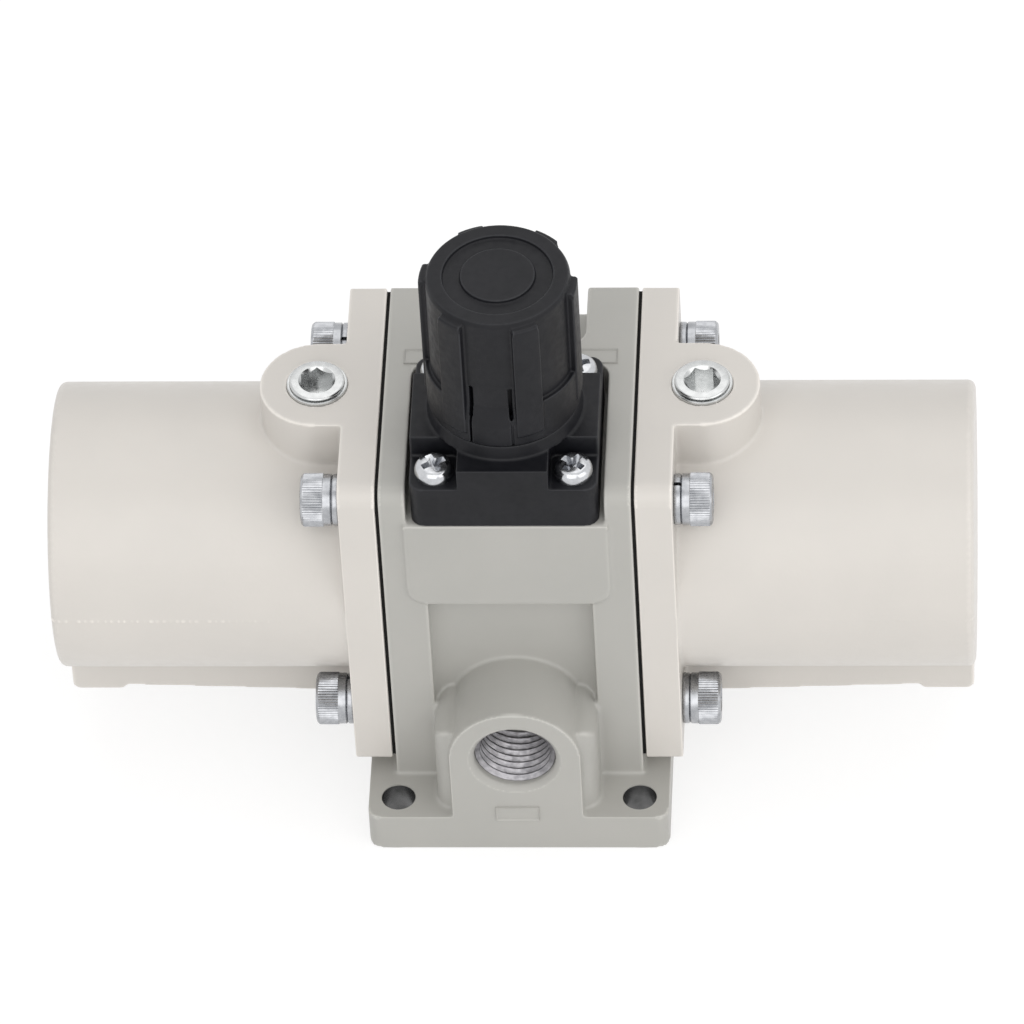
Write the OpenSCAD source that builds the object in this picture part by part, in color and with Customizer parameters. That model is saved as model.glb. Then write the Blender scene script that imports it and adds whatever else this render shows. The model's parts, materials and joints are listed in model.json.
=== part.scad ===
// Air pressure booster: a centre body with a governor on top, carrying two
// cylinder covers whose twin pistons share one rod along X.
// The exhaust port faces -Y, the supply and outlet ports face +Y.

/* [Body] */
// Width between the two cover faces, along X
body_w = 40; // [36:0.5:46]
// Depth of the centre block, along Y
body_d = 47; // [46:0.5:52]
// Height of the cylinder axis above the base
axis_z = 41; // [39:0.5:46]
// Width of the foot plate, along X
base_w = 48.6; // [47:0.2:56]
// Depth of the foot plate, along Y
base_d = 66.6; // [65:0.2:74]
// Thickness of the foot plate
base_t = 7.2; // [5:0.2:9]
// Corner radius of the foot plate
base_corner_r = 2; // [1:0.5:4]
// Diameter of the four foot holes
foot_hole_d = 5.5; // [4.5:0.1:6.5]
// Spacing of the foot holes along X
foot_pitch_x = 39; // [37:0.2:40]
// Spacing of the foot holes along Y
foot_pitch_y = 57.6; // [57:0.2:59]
// Width of the relief behind the exhaust boss
relief_w = 26.2; // [24:0.2:28]
// Depth of the relief from the front wall
relief_depth = 3.2; // [2:0.1:3.6]
// Height of the relief's upper edge
relief_top_z = 47.5; // [45:0.5:49]
// Width of the raised pad under the bonnet
pad_w = 32.4; // [31:0.2:36]
// Thickness of the raised pad
pad_t = 0.8; // [0.4:0.1:2]
// Corner radius of the raised pad and the reliefs
pad_r = 3; // [1:0.5:4]
// Width of the notch at the rear of the top
notch_w = 23.5; // [18:0.5:25]
// Length of the notch from the rear wall
notch_len = 13; // [9:0.5:15]

/* [Ports] */
// Radius of the port thread at its crests
port_r = 6.58; // [5.5:0.02:7]
// Depth of the port thread
port_depth = 12; // [10:0.5:13]
// Radius of the chamfer at a port's mouth
port_mouth_r = 7.4; // [7.1:0.1:8.2]
// Radius of the exhaust boss
exhaust_boss_r = 10.6; // [9:0.2:12]
// Height of the exhaust port
exhaust_z = 20.6; // [19.5:0.2:22]
// Width of the gusset on both sides of the exhaust boss
gusset_w = 26.2; // [24:0.2:30]
// Distance of the gusset's front behind the boss face
gusset_back = 2; // [1.5:0.5:6]
// Height of the gusset's top
gusset_z = 24.8; // [22:0.2:28]
// Radius of the supply and outlet bosses
rear_boss_r = 9.8; // [8.5:0.1:10]
// Spacing of the supply and outlet ports
rear_port_pitch = 20.4; // [18:0.2:21]
// Height of the supply and outlet ports
rear_port_z = 39; // [38:0.5:40]

/* [Cylinder covers] */
// Thickness of the gasket under a cover
gasket_t = 0.5; // [0.3:0.1:1]
// Thickness of the cover flange
flange_t = 6; // [5:0.5:8]
// Depth of the cover flange, along Y
flange_d = 46.8; // [46.4:0.2:48]
// Height of the cover flange
flange_h = 61; // [60:0.5:64]
// Radius of the flange's front top corner
flange_r = 3; // [1:0.5:5]
// Radius of the flange's other corners
flange_corner_r = 0.6; // [0.4:0.1:1]
// Outer diameter of the cylinder
cylinder_od = 46; // [45:0.5:46.4]
// Bore of the cylinder
cylinder_bore = 40; // [38:0.5:41]
// Length of a cover from its flange face
cover_len = 53.3; // [50:0.1:60]
// Thickness of the closed end
end_wall = 5; // [4:0.5:7]
// Rounding of the closed end's edge
end_r = 1.2; // [0.8:0.1:4]
// Radius of the gauge boss
gauge_boss_r = 9.2; // [8:0.1:10]
// Distance of the gauge boss from the body's middle
gauge_x = 30.7; // [30:0.1:34]
// Shift of the gauge boss behind the cylinder axis
gauge_y = 1.4; // [0:0.1:2]
// Width of the air passage rib under the cylinder
rib_w = 17; // [11:0.5:18]
// Draft of the rib's underside over its length
rib_draft = 1.6; // [0.5:0.1:2]
// Distance that the rib stops short of the closed end
rib_inset = 0.5; // [0.3:0.1:4]
// Length of the thicker pad at the rib's end
rib_pad_len = 8; // [5:0.5:12]
// Height of the thicker pad at the rib's end
rib_pad_t = 0.9; // [0.4:0.1:1.2]
// Radius of the passages drilled in covers and body
passage_r = 2; // [1.5:0.1:2.2]
// Radius of the drillings from the rear ports to their galleries
drill_r = 2.4; // [2:0.1:2.5]
// Radius of the drilling that feeds the governor
feed_r = 1.4; // [1:0.1:1.6]

/* [Cover fasteners] */
// Spacing of the cover screws along Y
cover_pitch_y = 34; // [33:0.5:36]
// Spacing of the cover screws along Z
cover_pitch_z = 46; // [45:0.5:48]
// Thread diameter of the cover screws
cover_screw_d = 5; // [4:0.5:5]
// Length of the cover screws under the head
cover_screw_len = 11.4; // [10.5:0.1:11.6]
// Head diameter of the cover screws
cover_head_d = 8.5; // [7.5:0.1:9]
// Head height of the cover screws
cover_head_h = 5; // [4:0.1:5.5]
// Size of the hexagon socket across its flats
cover_hex = 4; // [3:0.5:4]
// Thickness of a spring washer
washer_t = 1.2; // [0.8:0.1:1.6]
// Width of the split in a spring washer
washer_split = 0.6; // [0.3:0.1:1]
// Diameter of the gauge port plugs
plug_d = 9.73; // [8:0.01:10]
// Length of the gauge port plugs
plug_len = 6.5; // [5:0.5:7]
// Height that a plug stands out of its boss
plug_stand = 1; // [0.5:0.1:1.5]
// Size of the plug's hexagon socket across its flats
plug_hex = 5; // [4:0.5:5]

/* [Governor] */
// Distance of the governor axis in front of the rod
governor_front = 9.3; // [9:0.1:10]
// Depth of the bonnet's pocket below the body top
pocket_depth = 6.2; // [5.5:0.1:7]
// Side of the square bonnet
bonnet_w = 29.8; // [29:0.2:30.4]
// Gap between the bonnet and its pocket
bonnet_gap = 0.8; // [0.4:0.1:1.2]
// Corner radius of the bonnet
bonnet_corner_r = 2.2; // [1:0.2:3]
// Height of the bonnet's block
bonnet_h = 12.3; // [11:0.1:14]
// Thickness of the bonnet under the screw heads
bonnet_seat = 8.2; // [6:0.1:9.5]
// Side of the square corner pockets for the screw heads
bonnet_corner = 7.7; // [7:0.1:8]
// Radius of the collar under the knob, at its foot
collar_r = 12.4; // [12:0.1:13]
// Height of the collar under the knob
collar_h = 2.4; // [1.6:0.1:3]
// Outer radius of the bonnet's neck
neck_r = 9.6; // [9.4:0.1:9.7]
// Bore of the bonnet's neck
neck_bore_r = 7.8; // [7.6:0.1:8]
// Height of the neck above the block
neck_h = 18.4; // [17:0.1:19]
// Thickness of the wall that closes the neck
neck_top = 1.8; // [1.2:0.1:2.4]
// Spacing of the bonnet screws
bonnet_pitch = 22; // [21.6:0.1:22.4]
// Thread diameter of the bonnet screws
bonnet_screw_d = 3; // [2.5:0.5:3.5]
// Length of the bonnet screws under the head
bonnet_screw_len = 16; // [14:1:20]
// Head diameter of the bonnet screws
bonnet_head_d = 6.2; // [5.5:0.1:6.6]
// Head height of the bonnet screws
bonnet_head_h = 2.4; // [2:0.1:3]
// Thickness of the diaphragm
diaphragm_t = 1; // [0.6:0.1:1.5]
// Radius of the diaphragm
diaphragm_r = 12.5; // [11.5:0.1:13]
// Radius of the plate on the diaphragm
plate_r = 7; // [6:0.1:7.2]
// Thickness of the plate on the diaphragm
plate_t = 2; // [1.5:0.1:3]
// Mean radius of the regulating spring
spring_r = 5.6; // [5:0.1:5.9]
// Wire radius of the regulating spring
spring_wire_r = 0.9; // [0.6:0.05:1]
// Turns of the regulating spring
spring_turns = 6; // [4:1:8]
// Thickness of the nut that seats the spring
seat_nut_t = 4; // [3:0.5:5]
// Thread radius of the adjusting screw
adjust_r = 3; // [2.5:0.1:3.2]
// Travel of the spring seat nut along the adjusting screw
adjust_travel = 5; // [3:0.5:6]
// Radius of the thrust collar on the adjusting screw
thrust_r = 5.4; // [4:0.1:6]
// Thickness of the thrust collar
thrust_t = 2; // [1:0.1:2.5]
// Width of the nut's two guide keys
key_w = 3; // [2:0.1:4]
// Length of the nut's guide keys
key_len = 0.9; // [0.6:0.1:1.2]
// Width of the diaphragm's clamped rim
clamp_w = 2.5; // [2:0.1:3.5]
// Radius of the stud through the diaphragm
stud_r = 2; // [1.5:0.1:2.5]
// Radius of the governor valve's bore
valve_bore_r = 5; // [4.5:0.1:5.5]
// Height of the governor valve's seat below the diaphragm
valve_chamber = 4.3; // [3.8:0.1:5]
// Thickness of the governor valve's seat
valve_seat_t = 2.3; // [2:0.1:3]
// Thickness of the governor valve's head
valve_head_t = 3; // [2:0.1:3.5]
// Room below the head of the governor valve
valve_room = 4.3; // [3.5:0.1:4.4]

/* [Knob] */
// Gap between the knob and the collar
knob_gap = 0.5; // [0.3:0.1:1]
// Height of the knob
knob_h = 26; // [25:0.5:29]
// Radius of the knob over its lobes
knob_lobe_r = 12.5; // [12.4:0.1:13]
// Radius of the knob's panels between the lobes
knob_panel_r = 11.4; // [11:0.1:11.8]
// Radius of the knob's skirt
knob_skirt_r = 12.2; // [12:0.1:12.4]
// Height of the knob's skirt
knob_skirt_h = 8; // [5:0.5:10]
// Bore of the knob round the neck
knob_bore_r = 10.1; // [10:0.1:10.3]
// Number of lobes
lobe_count = 6; // [4:1:8]
// Width of a lobe, in degrees
lobe_deg = 21; // [12:1:26]
// Turn of the lobe pattern from +X, in degrees
lobe_turn = -7; // [-30:1:30]
// Height of the slope on a lobe's top
lobe_slope = 1.5; // [1:0.1:2.5]
// Half width of the snap finger, in degrees
finger_deg = 16; // [12:1:20]
// Width of the slots beside the snap finger
finger_slot = 0.6; // [0.5:0.1:1.2]
// Radius of the sunk ring on the knob's top
dish_r = 8.7; // [8:0.1:9.6]
// Radius of the raised disc on the knob's top
disc_r = 5.9; // [4:0.1:6.5]
// Depth of the sunk ring
dish_depth = 0.7; // [0.3:0.1:1]
// Distance that the knob pulls up to unlock
knob_pull = 3; // [2:0.5:3]
// Length of the drive that stays engaged when the knob is up
drive_hold = 2.6; // [2:0.1:2.8]
// Thickness of the knob's top
knob_roof = 2.6; // [2:0.1:3]
// Radius of the hub inside the knob
hub_r = 5.4; // [4.5:0.1:6]

/* [Pistons and rod] */
// Thickness of a piston
piston_t = 12; // [11:0.5:13]
// Distance of a piston's inner face from the body face, at mid stroke
piston_stand = 18.2; // [17.5:0.1:18.4]
// Radial gap between a piston and its bore
piston_gap = 0.4; // [0.3:0.05:0.6]
// Depth of the piston seal's groove
seal_depth = 3; // [2:0.1:3.5]
// Width of the piston seal
seal_w = 3.6; // [3:0.1:4]
// Depth of the wear ring's groove
wear_depth = 1.4; // [1:0.1:2]
// Width of the wear ring
wear_w = 3; // [2:0.1:3.5]
// Radius of the piston rod
rod_r = 4; // [3.5:0.1:4.2]
// Outer radius of the rod bush
bush_r = 5.5; // [5.2:0.1:5.8]
// Outer radius of the rod seals
rod_seal_r = 7; // [6.6:0.1:7.2]
// Width of a rod seal
rod_seal_w = 3.5; // [3:0.1:4]
// Thickness of a rod seal's retaining ring
retainer_t = 1.2; // [0.8:0.1:1.5]
// Radius of the bolts that hold the pistons
piston_bolt_r = 2.5; // [2:0.1:2.6]
// Length of a piston bolt under its head
piston_bolt_len = 16; // [14:1:18]
// Outer radius of the end bumpers
bumper_r = 12; // [10:0.5:14]
// Width of the end bumpers
bumper_w = 3; // [2:0.5:4]
// Height of the end bumpers
bumper_t = 2.2; // [1.8:0.1:2.4]
// Depth of the groove that holds a bumper
bumper_groove = 0.9; // [0.7:0.1:1.2]

/* [Switching valve] */
// Distance of the switching valve below the rod axis
valve_drop = 14.5; // [14.3:0.1:14.8]
// Outer radius of the valve sleeve
sleeve_r = 6; // [5.8:0.1:6.2]
// Radius of the spool's lands
spool_r = 4; // [3.6:0.1:4.2]
// Radius of the spool between its lands
spool_neck_r = 2.4; // [2:0.1:2.8]
// Thickness of the valve's end caps
valve_cap_t = 2; // [1.5:0.1:2.5]
// Travel of the spool to each side of its middle
spool_travel = 2; // [1.5:0.1:2.1]
// Radius of the push pins
push_pin_r = 2; // [1.6:0.1:2.2]
// Distance that a push pin stands out at mid travel
push_pin_stand = 3.2; // [3:0.1:3.3]
// Number of seals along the spool
spool_seal_count = 6; // [4:2:8]
// Width of a spool seal
spool_seal_w = 0.9; // [0.7:0.1:1.1]
// Depth of a spool seal's groove
spool_seal_depth = 0.7; // [0.5:0.1:0.9]
// Number of rows of windows in the sleeve
window_rows = 5; // [3:2:7]
// Radius of a window in the sleeve
window_r = 1.1; // [0.8:0.1:1.3]

/* [Check valves] */
// Radius of a check valve's pocket
check_r = 4; // [3.6:0.1:4.2]
// Length of a check valve's spring when fully pressed
check_spring_solid = 2.1; // [1.8:0.1:2.3]
// Radius of the holes in the seats and cages
check_hole_r = 1.9; // [1.5:0.1:2.1]
// Radial room round a valve disc
disc_room = 0.9; // [0.6:0.1:1.2]
// Distance of the check valves behind the rod
check_back = 11.5; // [11:0.1:12]
// Distance of the inlet valves above the rod
inlet_rise = 5; // [4:0.5:6]
// Distance of the outlet valves below the rod
outlet_drop = 9; // [8:0.5:9.5]
// Thickness of the seats and cages
cage_t = 1.8; // [1.4:0.1:2]
// Thickness of a valve disc
disc_t = 1.5; // [1.2:0.1:2]
// Lift of a valve disc
disc_lift = 1.5; // [1:0.1:1.8]

/* [Clearances] */
// Radial clearance of pieces that stay put
fit = 0.03; // [0.02:0.01:0.05]
// Radial clearance of pieces that slide or turn
run = 0.05; // [0.03:0.01:0.08]
// Gap between faces that meet when a piece moves
face_gap = 0.1; // [0.05:0.05:0.3]
// Clearance of a bolt in a through hole
through = 0.3; // [0.2:0.05:0.4]
// Depth of a tapped hole past its screw
tap_past = 0.3; // [0.2:0.1:0.5]
// Play of a seal or ring in its groove
groove_play = 0.1; // [0.05:0.05:0.2]
// Room between pieces that pass without touching
pass_gap = 0.5; // [0.3:0.1:0.8]

/* [Hidden] */
$fn = 64;
past = 1;

cast_grey = [0.70, 0.70, 0.67];
cover_grey = [0.84, 0.82, 0.80];
black = [0.20, 0.20, 0.21];
zinc = [0.78, 0.79, 0.80];
steel = [0.62, 0.63, 0.65];
brass = [0.80, 0.66, 0.36];
rubber = [0.12, 0.12, 0.12];
bronze = [0.66, 0.48, 0.28];
aluminium = [0.86, 0.87, 0.88];
polymer = [0.92, 0.90, 0.82];

face_x = body_w / 2;
front_y = -body_d / 2;
rear_y = body_d / 2;
base_front_y = -base_d / 2;
base_rear_y = base_d / 2;
body_h = axis_z + flange_h / 2;
flange_x = face_x + gasket_t;
flange_out_x = flange_x + flange_t;
cover_end_x = flange_x + cover_len;
chamber_end_x = cover_end_x - end_wall;
flange_bottom_z = axis_z - flange_h / 2;
cylinder_bottom_z = axis_z - cylinder_od / 2;
passage_z = (flange_bottom_z + cylinder_bottom_z) / 2 + rib_draft / 2;
passage_end_x = cover_end_x - rib_inset - rib_pad_len / 2;
head_under_x = flange_out_x + washer_t;
screw_tip_x = head_under_x - cover_screw_len;
plug_hole_r = plug_d / 2 + fit;

gov_y = -governor_front;
pocket_z = body_h - pocket_depth;
pocket_w = bonnet_w + 2 * bonnet_gap;
bonnet_top_z = pocket_z + bonnet_h;
bonnet_head_z = pocket_z + bonnet_seat;
bonnet_tip_z = bonnet_head_z - bonnet_screw_len;
collar_z = bonnet_top_z + collar_h;
neck_top_z = bonnet_top_z + neck_h;
neck_inner_z = neck_top_z - neck_top;
diaphragm_z = pocket_z - diaphragm_t;
plate_z = pocket_z + plate_t;
spring_bore_z = plate_z + pass_gap;
seat_z = diaphragm_z - valve_chamber;
valve_top_z = seat_z - valve_seat_t - face_gap;
valve_bottom_z = valve_top_z - valve_head_t;
valve_floor_z = valve_bottom_z - valve_room;
washer_r = plate_r - 1;

thrust_top_z = neck_inner_z - face_gap;
thrust_bottom_z = thrust_top_z - thrust_t;
seat_nut_top_z = thrust_bottom_z - face_gap;
seat_nut_z = seat_nut_top_z - seat_nut_t;
seat_nut_r = neck_bore_r - 4 * run;
adjust_bottom_z = seat_nut_z - adjust_travel - pass_gap;
drive_flats = 1.8 * adjust_r;
knob_z = collar_z + knob_gap;
knob_top_z = knob_z + knob_h;
hub_z = neck_top_z + pass_gap;
drive_top_z = hub_z + knob_pull + drive_hold;

bore_r = cylinder_bore / 2;
piston_r = bore_r - piston_gap;
piston_x = face_x + piston_stand;
piston_out_x = piston_x + piston_t;
piston_head_h = 2 * piston_bolt_r;
piston_head_r = piston_bolt_r * 1.7;
piston_head_x = piston_out_x - piston_head_h - pass_gap;
seal_x = piston_x + 1.6;
wear_x = piston_out_x - 1.6 - wear_w;
rod_pocket = rod_seal_w + retainer_t + 3 * groove_play;
rod_seal_x = face_x - rod_pocket + groove_play;
retainer_x = face_x - retainer_t - groove_play;

valve_z = axis_z - valve_drop;
valve_cap_x = face_x - valve_cap_t - groove_play;
sleeve_end_x = valve_cap_x - groove_play;
spool_end_x = sleeve_end_x - spool_travel - pass_gap;
pin_tip_x = face_x + push_pin_stand;

inlet_z = axis_z + inlet_rise;
outlet_z = axis_z - outlet_drop;
check_depth = cage_t + disc_t + disc_lift + check_spring_solid + groove_play;
check_floor_x = face_x - check_depth;
cage_x = face_x - cage_t - groove_play;
disc_r_out = check_r - disc_room;
inlet_disc_x = check_floor_x + face_gap;
outlet_disc_x = cage_x - face_gap - disc_t;
supply_drill_z = inlet_z - passage_r - drill_r + pass_gap;
outlet_drill_z = outlet_z + passage_r + drill_r - pass_gap;
feed_z = valve_floor_z + feed_r;

// Extrudes a profile drawn in Y and Z along X
module along_x(x0, x1) {
    translate([x0, 0, 0]) rotate([90, 0, 90]) linear_extrude(height = x1 - x0) children();
}

// Extrudes a profile drawn in X and Z along Y
module along_y(y0, y1) {
    translate([0, y1, 0]) rotate([90, 0, 0]) linear_extrude(height = y1 - y0) children();
}

// A round bar along X
module bar_x(x0, x1, r, y = 0, z = axis_z) {
    translate([x0, y, z]) rotate([0, 90, 0]) cylinder(h = x1 - x0, r = r);
}

// A round bar along Y
module bar_y(y0, y1, r, x = 0, z = axis_z) {
    translate([x, y1, z]) rotate([90, 0, 0]) cylinder(h = y1 - y0, r = r);
}

// A round bar along Z on the governor axis
module bar_z(z0, z1, r, x = 0, y = gov_y) {
    translate([x, y, z0]) cylinder(h = z1 - z0, r = r);
}

// A ring along X
module ring_x(x0, x1, r_out, r_in, y = 0, z = axis_z) {
    difference() {
        bar_x(x0, x1, r_out, y, z);
        bar_x(x0 - past, x1 + past, r_in, y, z);
    }
}

// A ring along Z on the governor axis
module ring_z(z0, z1, r_out, r_in) {
    difference() {
        bar_z(z0, z1, r_out);
        bar_z(z0 - past, z1 + past, r_in);
    }
}

// A rectangle with round corners about the origin
module round_rect(w, h, r) {
    square([w - 2 * r, h], center = true);
    square([w, h - 2 * r], center = true);
    for (sx = [-1, 1], sy = [-1, 1])
        translate([sx * (w / 2 - r), sy * (h / 2 - r)]) circle(r);
}

// What rounds off a square corner that lies at the origin, at the upper left
module corner_cut(r) {
    difference() {
        translate([-past, -r]) square([r + past, r + past]);
        translate([r, -r]) circle(r);
    }
}

// The outline of a cover joint in Y and Z, with a rounder corner at its front top
module joint_outline(depth) {
    translate([0, axis_z]) difference() {
        round_rect(depth, flange_h, flange_corner_r);
        translate([-depth / 2, flange_h / 2]) corner_cut(flange_r);
    }
}

// Places a right hand piece on both ends
module both_ends() {
    children();
    mirror([1, 0, 0]) children();
}

// The four screw places of a cover, in Y and Z
module cover_places() {
    for (sy = [-1, 1], sz = [-1, 1])
        translate([0, sy * cover_pitch_y / 2, axis_z + sz * cover_pitch_z / 2]) children();
}

// The four screw places of the bonnet, in X and Y
module bonnet_places() {
    for (sx = [-1, 1], sy = [-1, 1])
        translate([sx * bonnet_pitch / 2, gov_y + sy * bonnet_pitch / 2, 0]) children();
}

// A helical spring that stands on z = 0
module coil(mean_r, wire_r, height, turns, steps = 16, sides = 6) {
    count = turns * steps;
    rise = height - 2 * wire_r;
    points = [
        for (i = [0:count], j = [0:sides - 1])
            let (a = 360 * i / steps, b = 360 * j / sides, r = mean_r + wire_r * cos(b))
            [r * cos(a), r * sin(a), wire_r + rise * i / count + wire_r * sin(b)]
    ];
    tube = [
        for (i = [0:count - 1], j = [0:sides - 1])
            let (k = (j + 1) % sides)
            [i * sides + j, i * sides + k, (i + 1) * sides + k, (i + 1) * sides + j]
    ];
    start_cap = [[for (j = [sides - 1:-1:0]) j]];
    end_cap = [[for (j = [0:sides - 1]) count * sides + j]];
    polyhedron(points, concat(start_cap, tube, end_cap), convexity = 8);
}

// A port of one thread size: bore and chamfered mouth, cut inwards from y
module port_cut(x, y, z, inward) {
    depth_end = y + inward * port_depth;
    mouth_t = port_mouth_r - port_r;
    bar_y(min(y, depth_end), max(y, depth_end), port_r, x, z);
    translate([x, y + inward * mouth_t, z])
        rotate([90 * inward, 0, 0])
        cylinder(h = mouth_t + 0.01, r1 = port_r, r2 = port_mouth_r + 0.01);
}

// The outline of a boss that runs down to the foot plate
module tombstone(r, z) {
    translate([0, z]) circle(r);
    translate([-r, 0]) square([2 * r, z]);
}

// The cast shape of the body before it is machined
module body_casting() {
    difference() {
        union() {
            along_x(-face_x, face_x) {
                joint_outline(body_d);
                translate([front_y, 0]) square([body_d, body_h - flange_r]);
            }
            along_y(front_y - pad_t, front_y + past)
                translate([0, (relief_top_z + pocket_z) / 2])
                round_rect(pad_w, pocket_z - relief_top_z, pad_r);
            along_y(front_y - pad_t, front_y + past)
                translate([-pad_w / 2, pocket_z - pad_r]) square([pad_w, pad_r]);
        }
        translate([0, front_y, base_t])
            linear_extrude(height = relief_top_z - base_t)
            round_rect(relief_w, 2 * relief_depth, min(pad_r, relief_depth * 0.9));
    }
    linear_extrude(height = base_t) round_rect(base_w, base_d, base_corner_r);
    along_y(base_front_y, front_y + relief_depth + past) tombstone(exhaust_boss_r, exhaust_z);
    intersection() {
        gusset_len = front_y + relief_depth + past - base_front_y - gusset_back;
        translate([0, base_front_y + gusset_back + gusset_len / 2, 0])
            linear_extrude(height = body_h) round_rect(gusset_w, gusset_len, pad_r);
        along_y(base_front_y, front_y + relief_depth + past)
            translate([0, gusset_z / 2]) round_rect(gusset_w, gusset_z, pad_r);
    }
    for (sx = [-1, 1])
        bar_y(rear_y - past, base_rear_y, rear_boss_r, sx * rear_port_pitch / 2, rear_port_z);
}

// Everything that is cut from the top of the body
module body_top_cuts() {
    translate([0, gov_y, pocket_z])
        linear_extrude(height = pocket_depth + past) {
            round_rect(pocket_w, pocket_w, pad_r);
            translate([-pocket_w / 2, -body_d]) square([pocket_w, body_d]);
        }
    translate([0, rear_y, body_h - pocket_depth])
        linear_extrude(height = pocket_depth + past)
        round_rect(notch_w, 2 * notch_len, pad_r);
    bar_z(diaphragm_z, pocket_z + past, diaphragm_r + fit);
    bar_z(seat_z, pocket_z, diaphragm_r - clamp_w);
    bar_z(valve_floor_z, pocket_z, valve_bore_r);
    bonnet_places() bar_z(bonnet_tip_z - tap_past, pocket_z + past, bonnet_screw_d / 2 + fit, 0, 0);
}

// The bores for rod, switching valve and check valves
module body_side_cuts() {
    bar_x(-face_x - past, face_x + past, bush_r + fit);
    bar_x(-face_x - past, face_x + past, sleeve_r, 0, valve_z);
    both_ends() {
        bar_x(face_x - rod_pocket, face_x + past, rod_seal_r + fit);
        bar_x(check_floor_x, face_x + past, check_r, check_back, inlet_z);
        bar_x(check_floor_x, face_x + past, check_r, check_back, outlet_z);
        cover_places() bar_x(screw_tip_x - tap_past, face_x + past, cover_screw_d / 2 + fit, 0, 0);
        bar_x(0, face_x + past, passage_r, 0, passage_z);
    }
    bar_x(-check_floor_x - past, check_floor_x + past, passage_r, check_back, inlet_z);
    bar_x(-check_floor_x - past, check_floor_x + past, passage_r, check_back, outlet_z);
}

// The three ports with their drillings
module body_port_cuts() {
    supply_x = -rear_port_pitch / 2;
    outlet_x = rear_port_pitch / 2;
    port_cut(0, base_front_y, exhaust_z, 1);
    bar_y(base_front_y, 0, passage_r * 2, 0, exhaust_z);
    port_cut(supply_x, base_rear_y, rear_port_z, -1);
    bar_y(check_back - passage_r, base_rear_y, drill_r, supply_x, supply_drill_z);
    port_cut(outlet_x, base_rear_y, rear_port_z, -1);
    bar_y(check_back - passage_r, base_rear_y, drill_r, outlet_x, outlet_drill_z);
    bar_y(gov_y, check_back, feed_r, 0, feed_z);
    bar_z(inlet_z, feed_z, feed_r, 0, check_back);
}

module body() {
    color(cast_grey)
    difference() {
        body_casting();
        body_top_cuts();
        body_side_cuts();
        body_port_cuts();
        for (sx = [-1, 1], sy = [-1, 1])
            translate([sx * foot_pitch_x / 2, sy * foot_pitch_y / 2, -past])
            cylinder(h = base_t + 2 * past, d = foot_hole_d);
    }
}

// The round part of a cover with its edge rounded at the closed end
module cover_barrel() {
    length = cover_end_x - flange_x;
    radius = cylinder_od / 2;
    translate([flange_x, 0, axis_z]) rotate([0, 90, 0]) rotate_extrude() {
        square([radius, length - end_r]);
        square([radius - end_r, length]);
        translate([radius - end_r, length - end_r]) intersection() {
            circle(end_r);
            square(end_r);
        }
    }
}

// The drafted rib under the barrel that carries the air passage
module cover_rib() {
    rib_end = cover_end_x - rib_inset;
    pad_start = rib_end - rib_pad_len;
    rib_z = flange_bottom_z + rib_draft;
    along_y(-rib_w / 2, rib_w / 2) polygon([
        [flange_x, flange_bottom_z],
        [pad_start - rib_pad_t, rib_z],
        [pad_start, rib_z - rib_pad_t],
        [rib_end - rib_pad_t, rib_z - rib_pad_t],
        [rib_end, rib_z],
        [rib_end, axis_z - bore_r],
        [flange_x, axis_z - bore_r]
    ]);
}

// The gauge boss: a round post that runs into the flange
module gauge_boss() {
    translate([gauge_x, gauge_y, axis_z]) cylinder(h = flange_h / 2, r = gauge_boss_r);
    translate([flange_x, gauge_y - gauge_boss_r, axis_z])
        cube([gauge_x - flange_x, 2 * gauge_boss_r, flange_h / 2]);
}

// The right hand cover
module cover() {
    difference() {
        union() {
            along_x(flange_x, flange_out_x) joint_outline(flange_d);
            cover_barrel();
            cover_rib();
            gauge_boss();
        }
        bar_x(flange_x - past, chamber_end_x, bore_r);
        ring_x(chamber_end_x - past, chamber_end_x + bumper_groove,
            bumper_r + fit, bumper_r - bumper_w - fit);
        cover_places() bar_x(flange_x - past, flange_out_x + past, cover_screw_d / 2 + through, 0, 0);
        bar_x(flange_x - past, passage_end_x, passage_r, 0, passage_z);
        bar_z(passage_z, axis_z - bore_r + past, passage_r, passage_end_x - passage_r, 0);
        bar_z(axis_z, body_h + past, passage_r, gauge_x, gauge_y);
        bar_z(body_h + plug_stand - plug_len - tap_past, body_h + past, plug_hole_r, gauge_x, gauge_y);
    }
}

module right_cover() {
    color(cover_grey) cover();
}

module left_cover() {
    color(cover_grey) mirror([1, 0, 0]) cover();
}

// The right hand gasket
module gasket() {
    difference() {
        along_x(face_x, flange_x) joint_outline(flange_d);
        bar_x(face_x - past, flange_x + past, bore_r);
        cover_places() bar_x(face_x - past, flange_x + past, cover_screw_d / 2 + through, 0, 0);
        bar_x(face_x - past, flange_x + past, passage_r, 0, passage_z);
    }
}

module right_gasket() {
    color(rubber) gasket();
}

module left_gasket() {
    color(rubber) mirror([1, 0, 0]) gasket();
}

// One cap screw along X with its head outwards
module cap_screw(under_x, length, thread_r, head_r, head_h, hex_flats) {
    hex_r = hex_flats / 2 / cos(30);
    difference() {
        union() {
            bar_x(under_x - length, under_x + head_h / 2, thread_r, 0, 0);
            bar_x(under_x, under_x + head_h - head_r * 0.1, head_r, 0, 0);
            translate([under_x + head_h - head_r * 0.1, 0, 0]) rotate([0, 90, 0])
                cylinder(h = head_r * 0.1, r1 = head_r, r2 = head_r * 0.9);
        }
        translate([under_x + head_h / 2, 0, 0]) rotate([0, 90, 0])
            cylinder(h = head_h, r = hex_r, $fn = 6);
    }
}

module cover_screws() {
    color(zinc) both_ends() cover_places()
        cap_screw(head_under_x, cover_screw_len, cover_screw_d / 2,
            cover_head_d / 2, cover_head_h, cover_hex);
}

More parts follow.
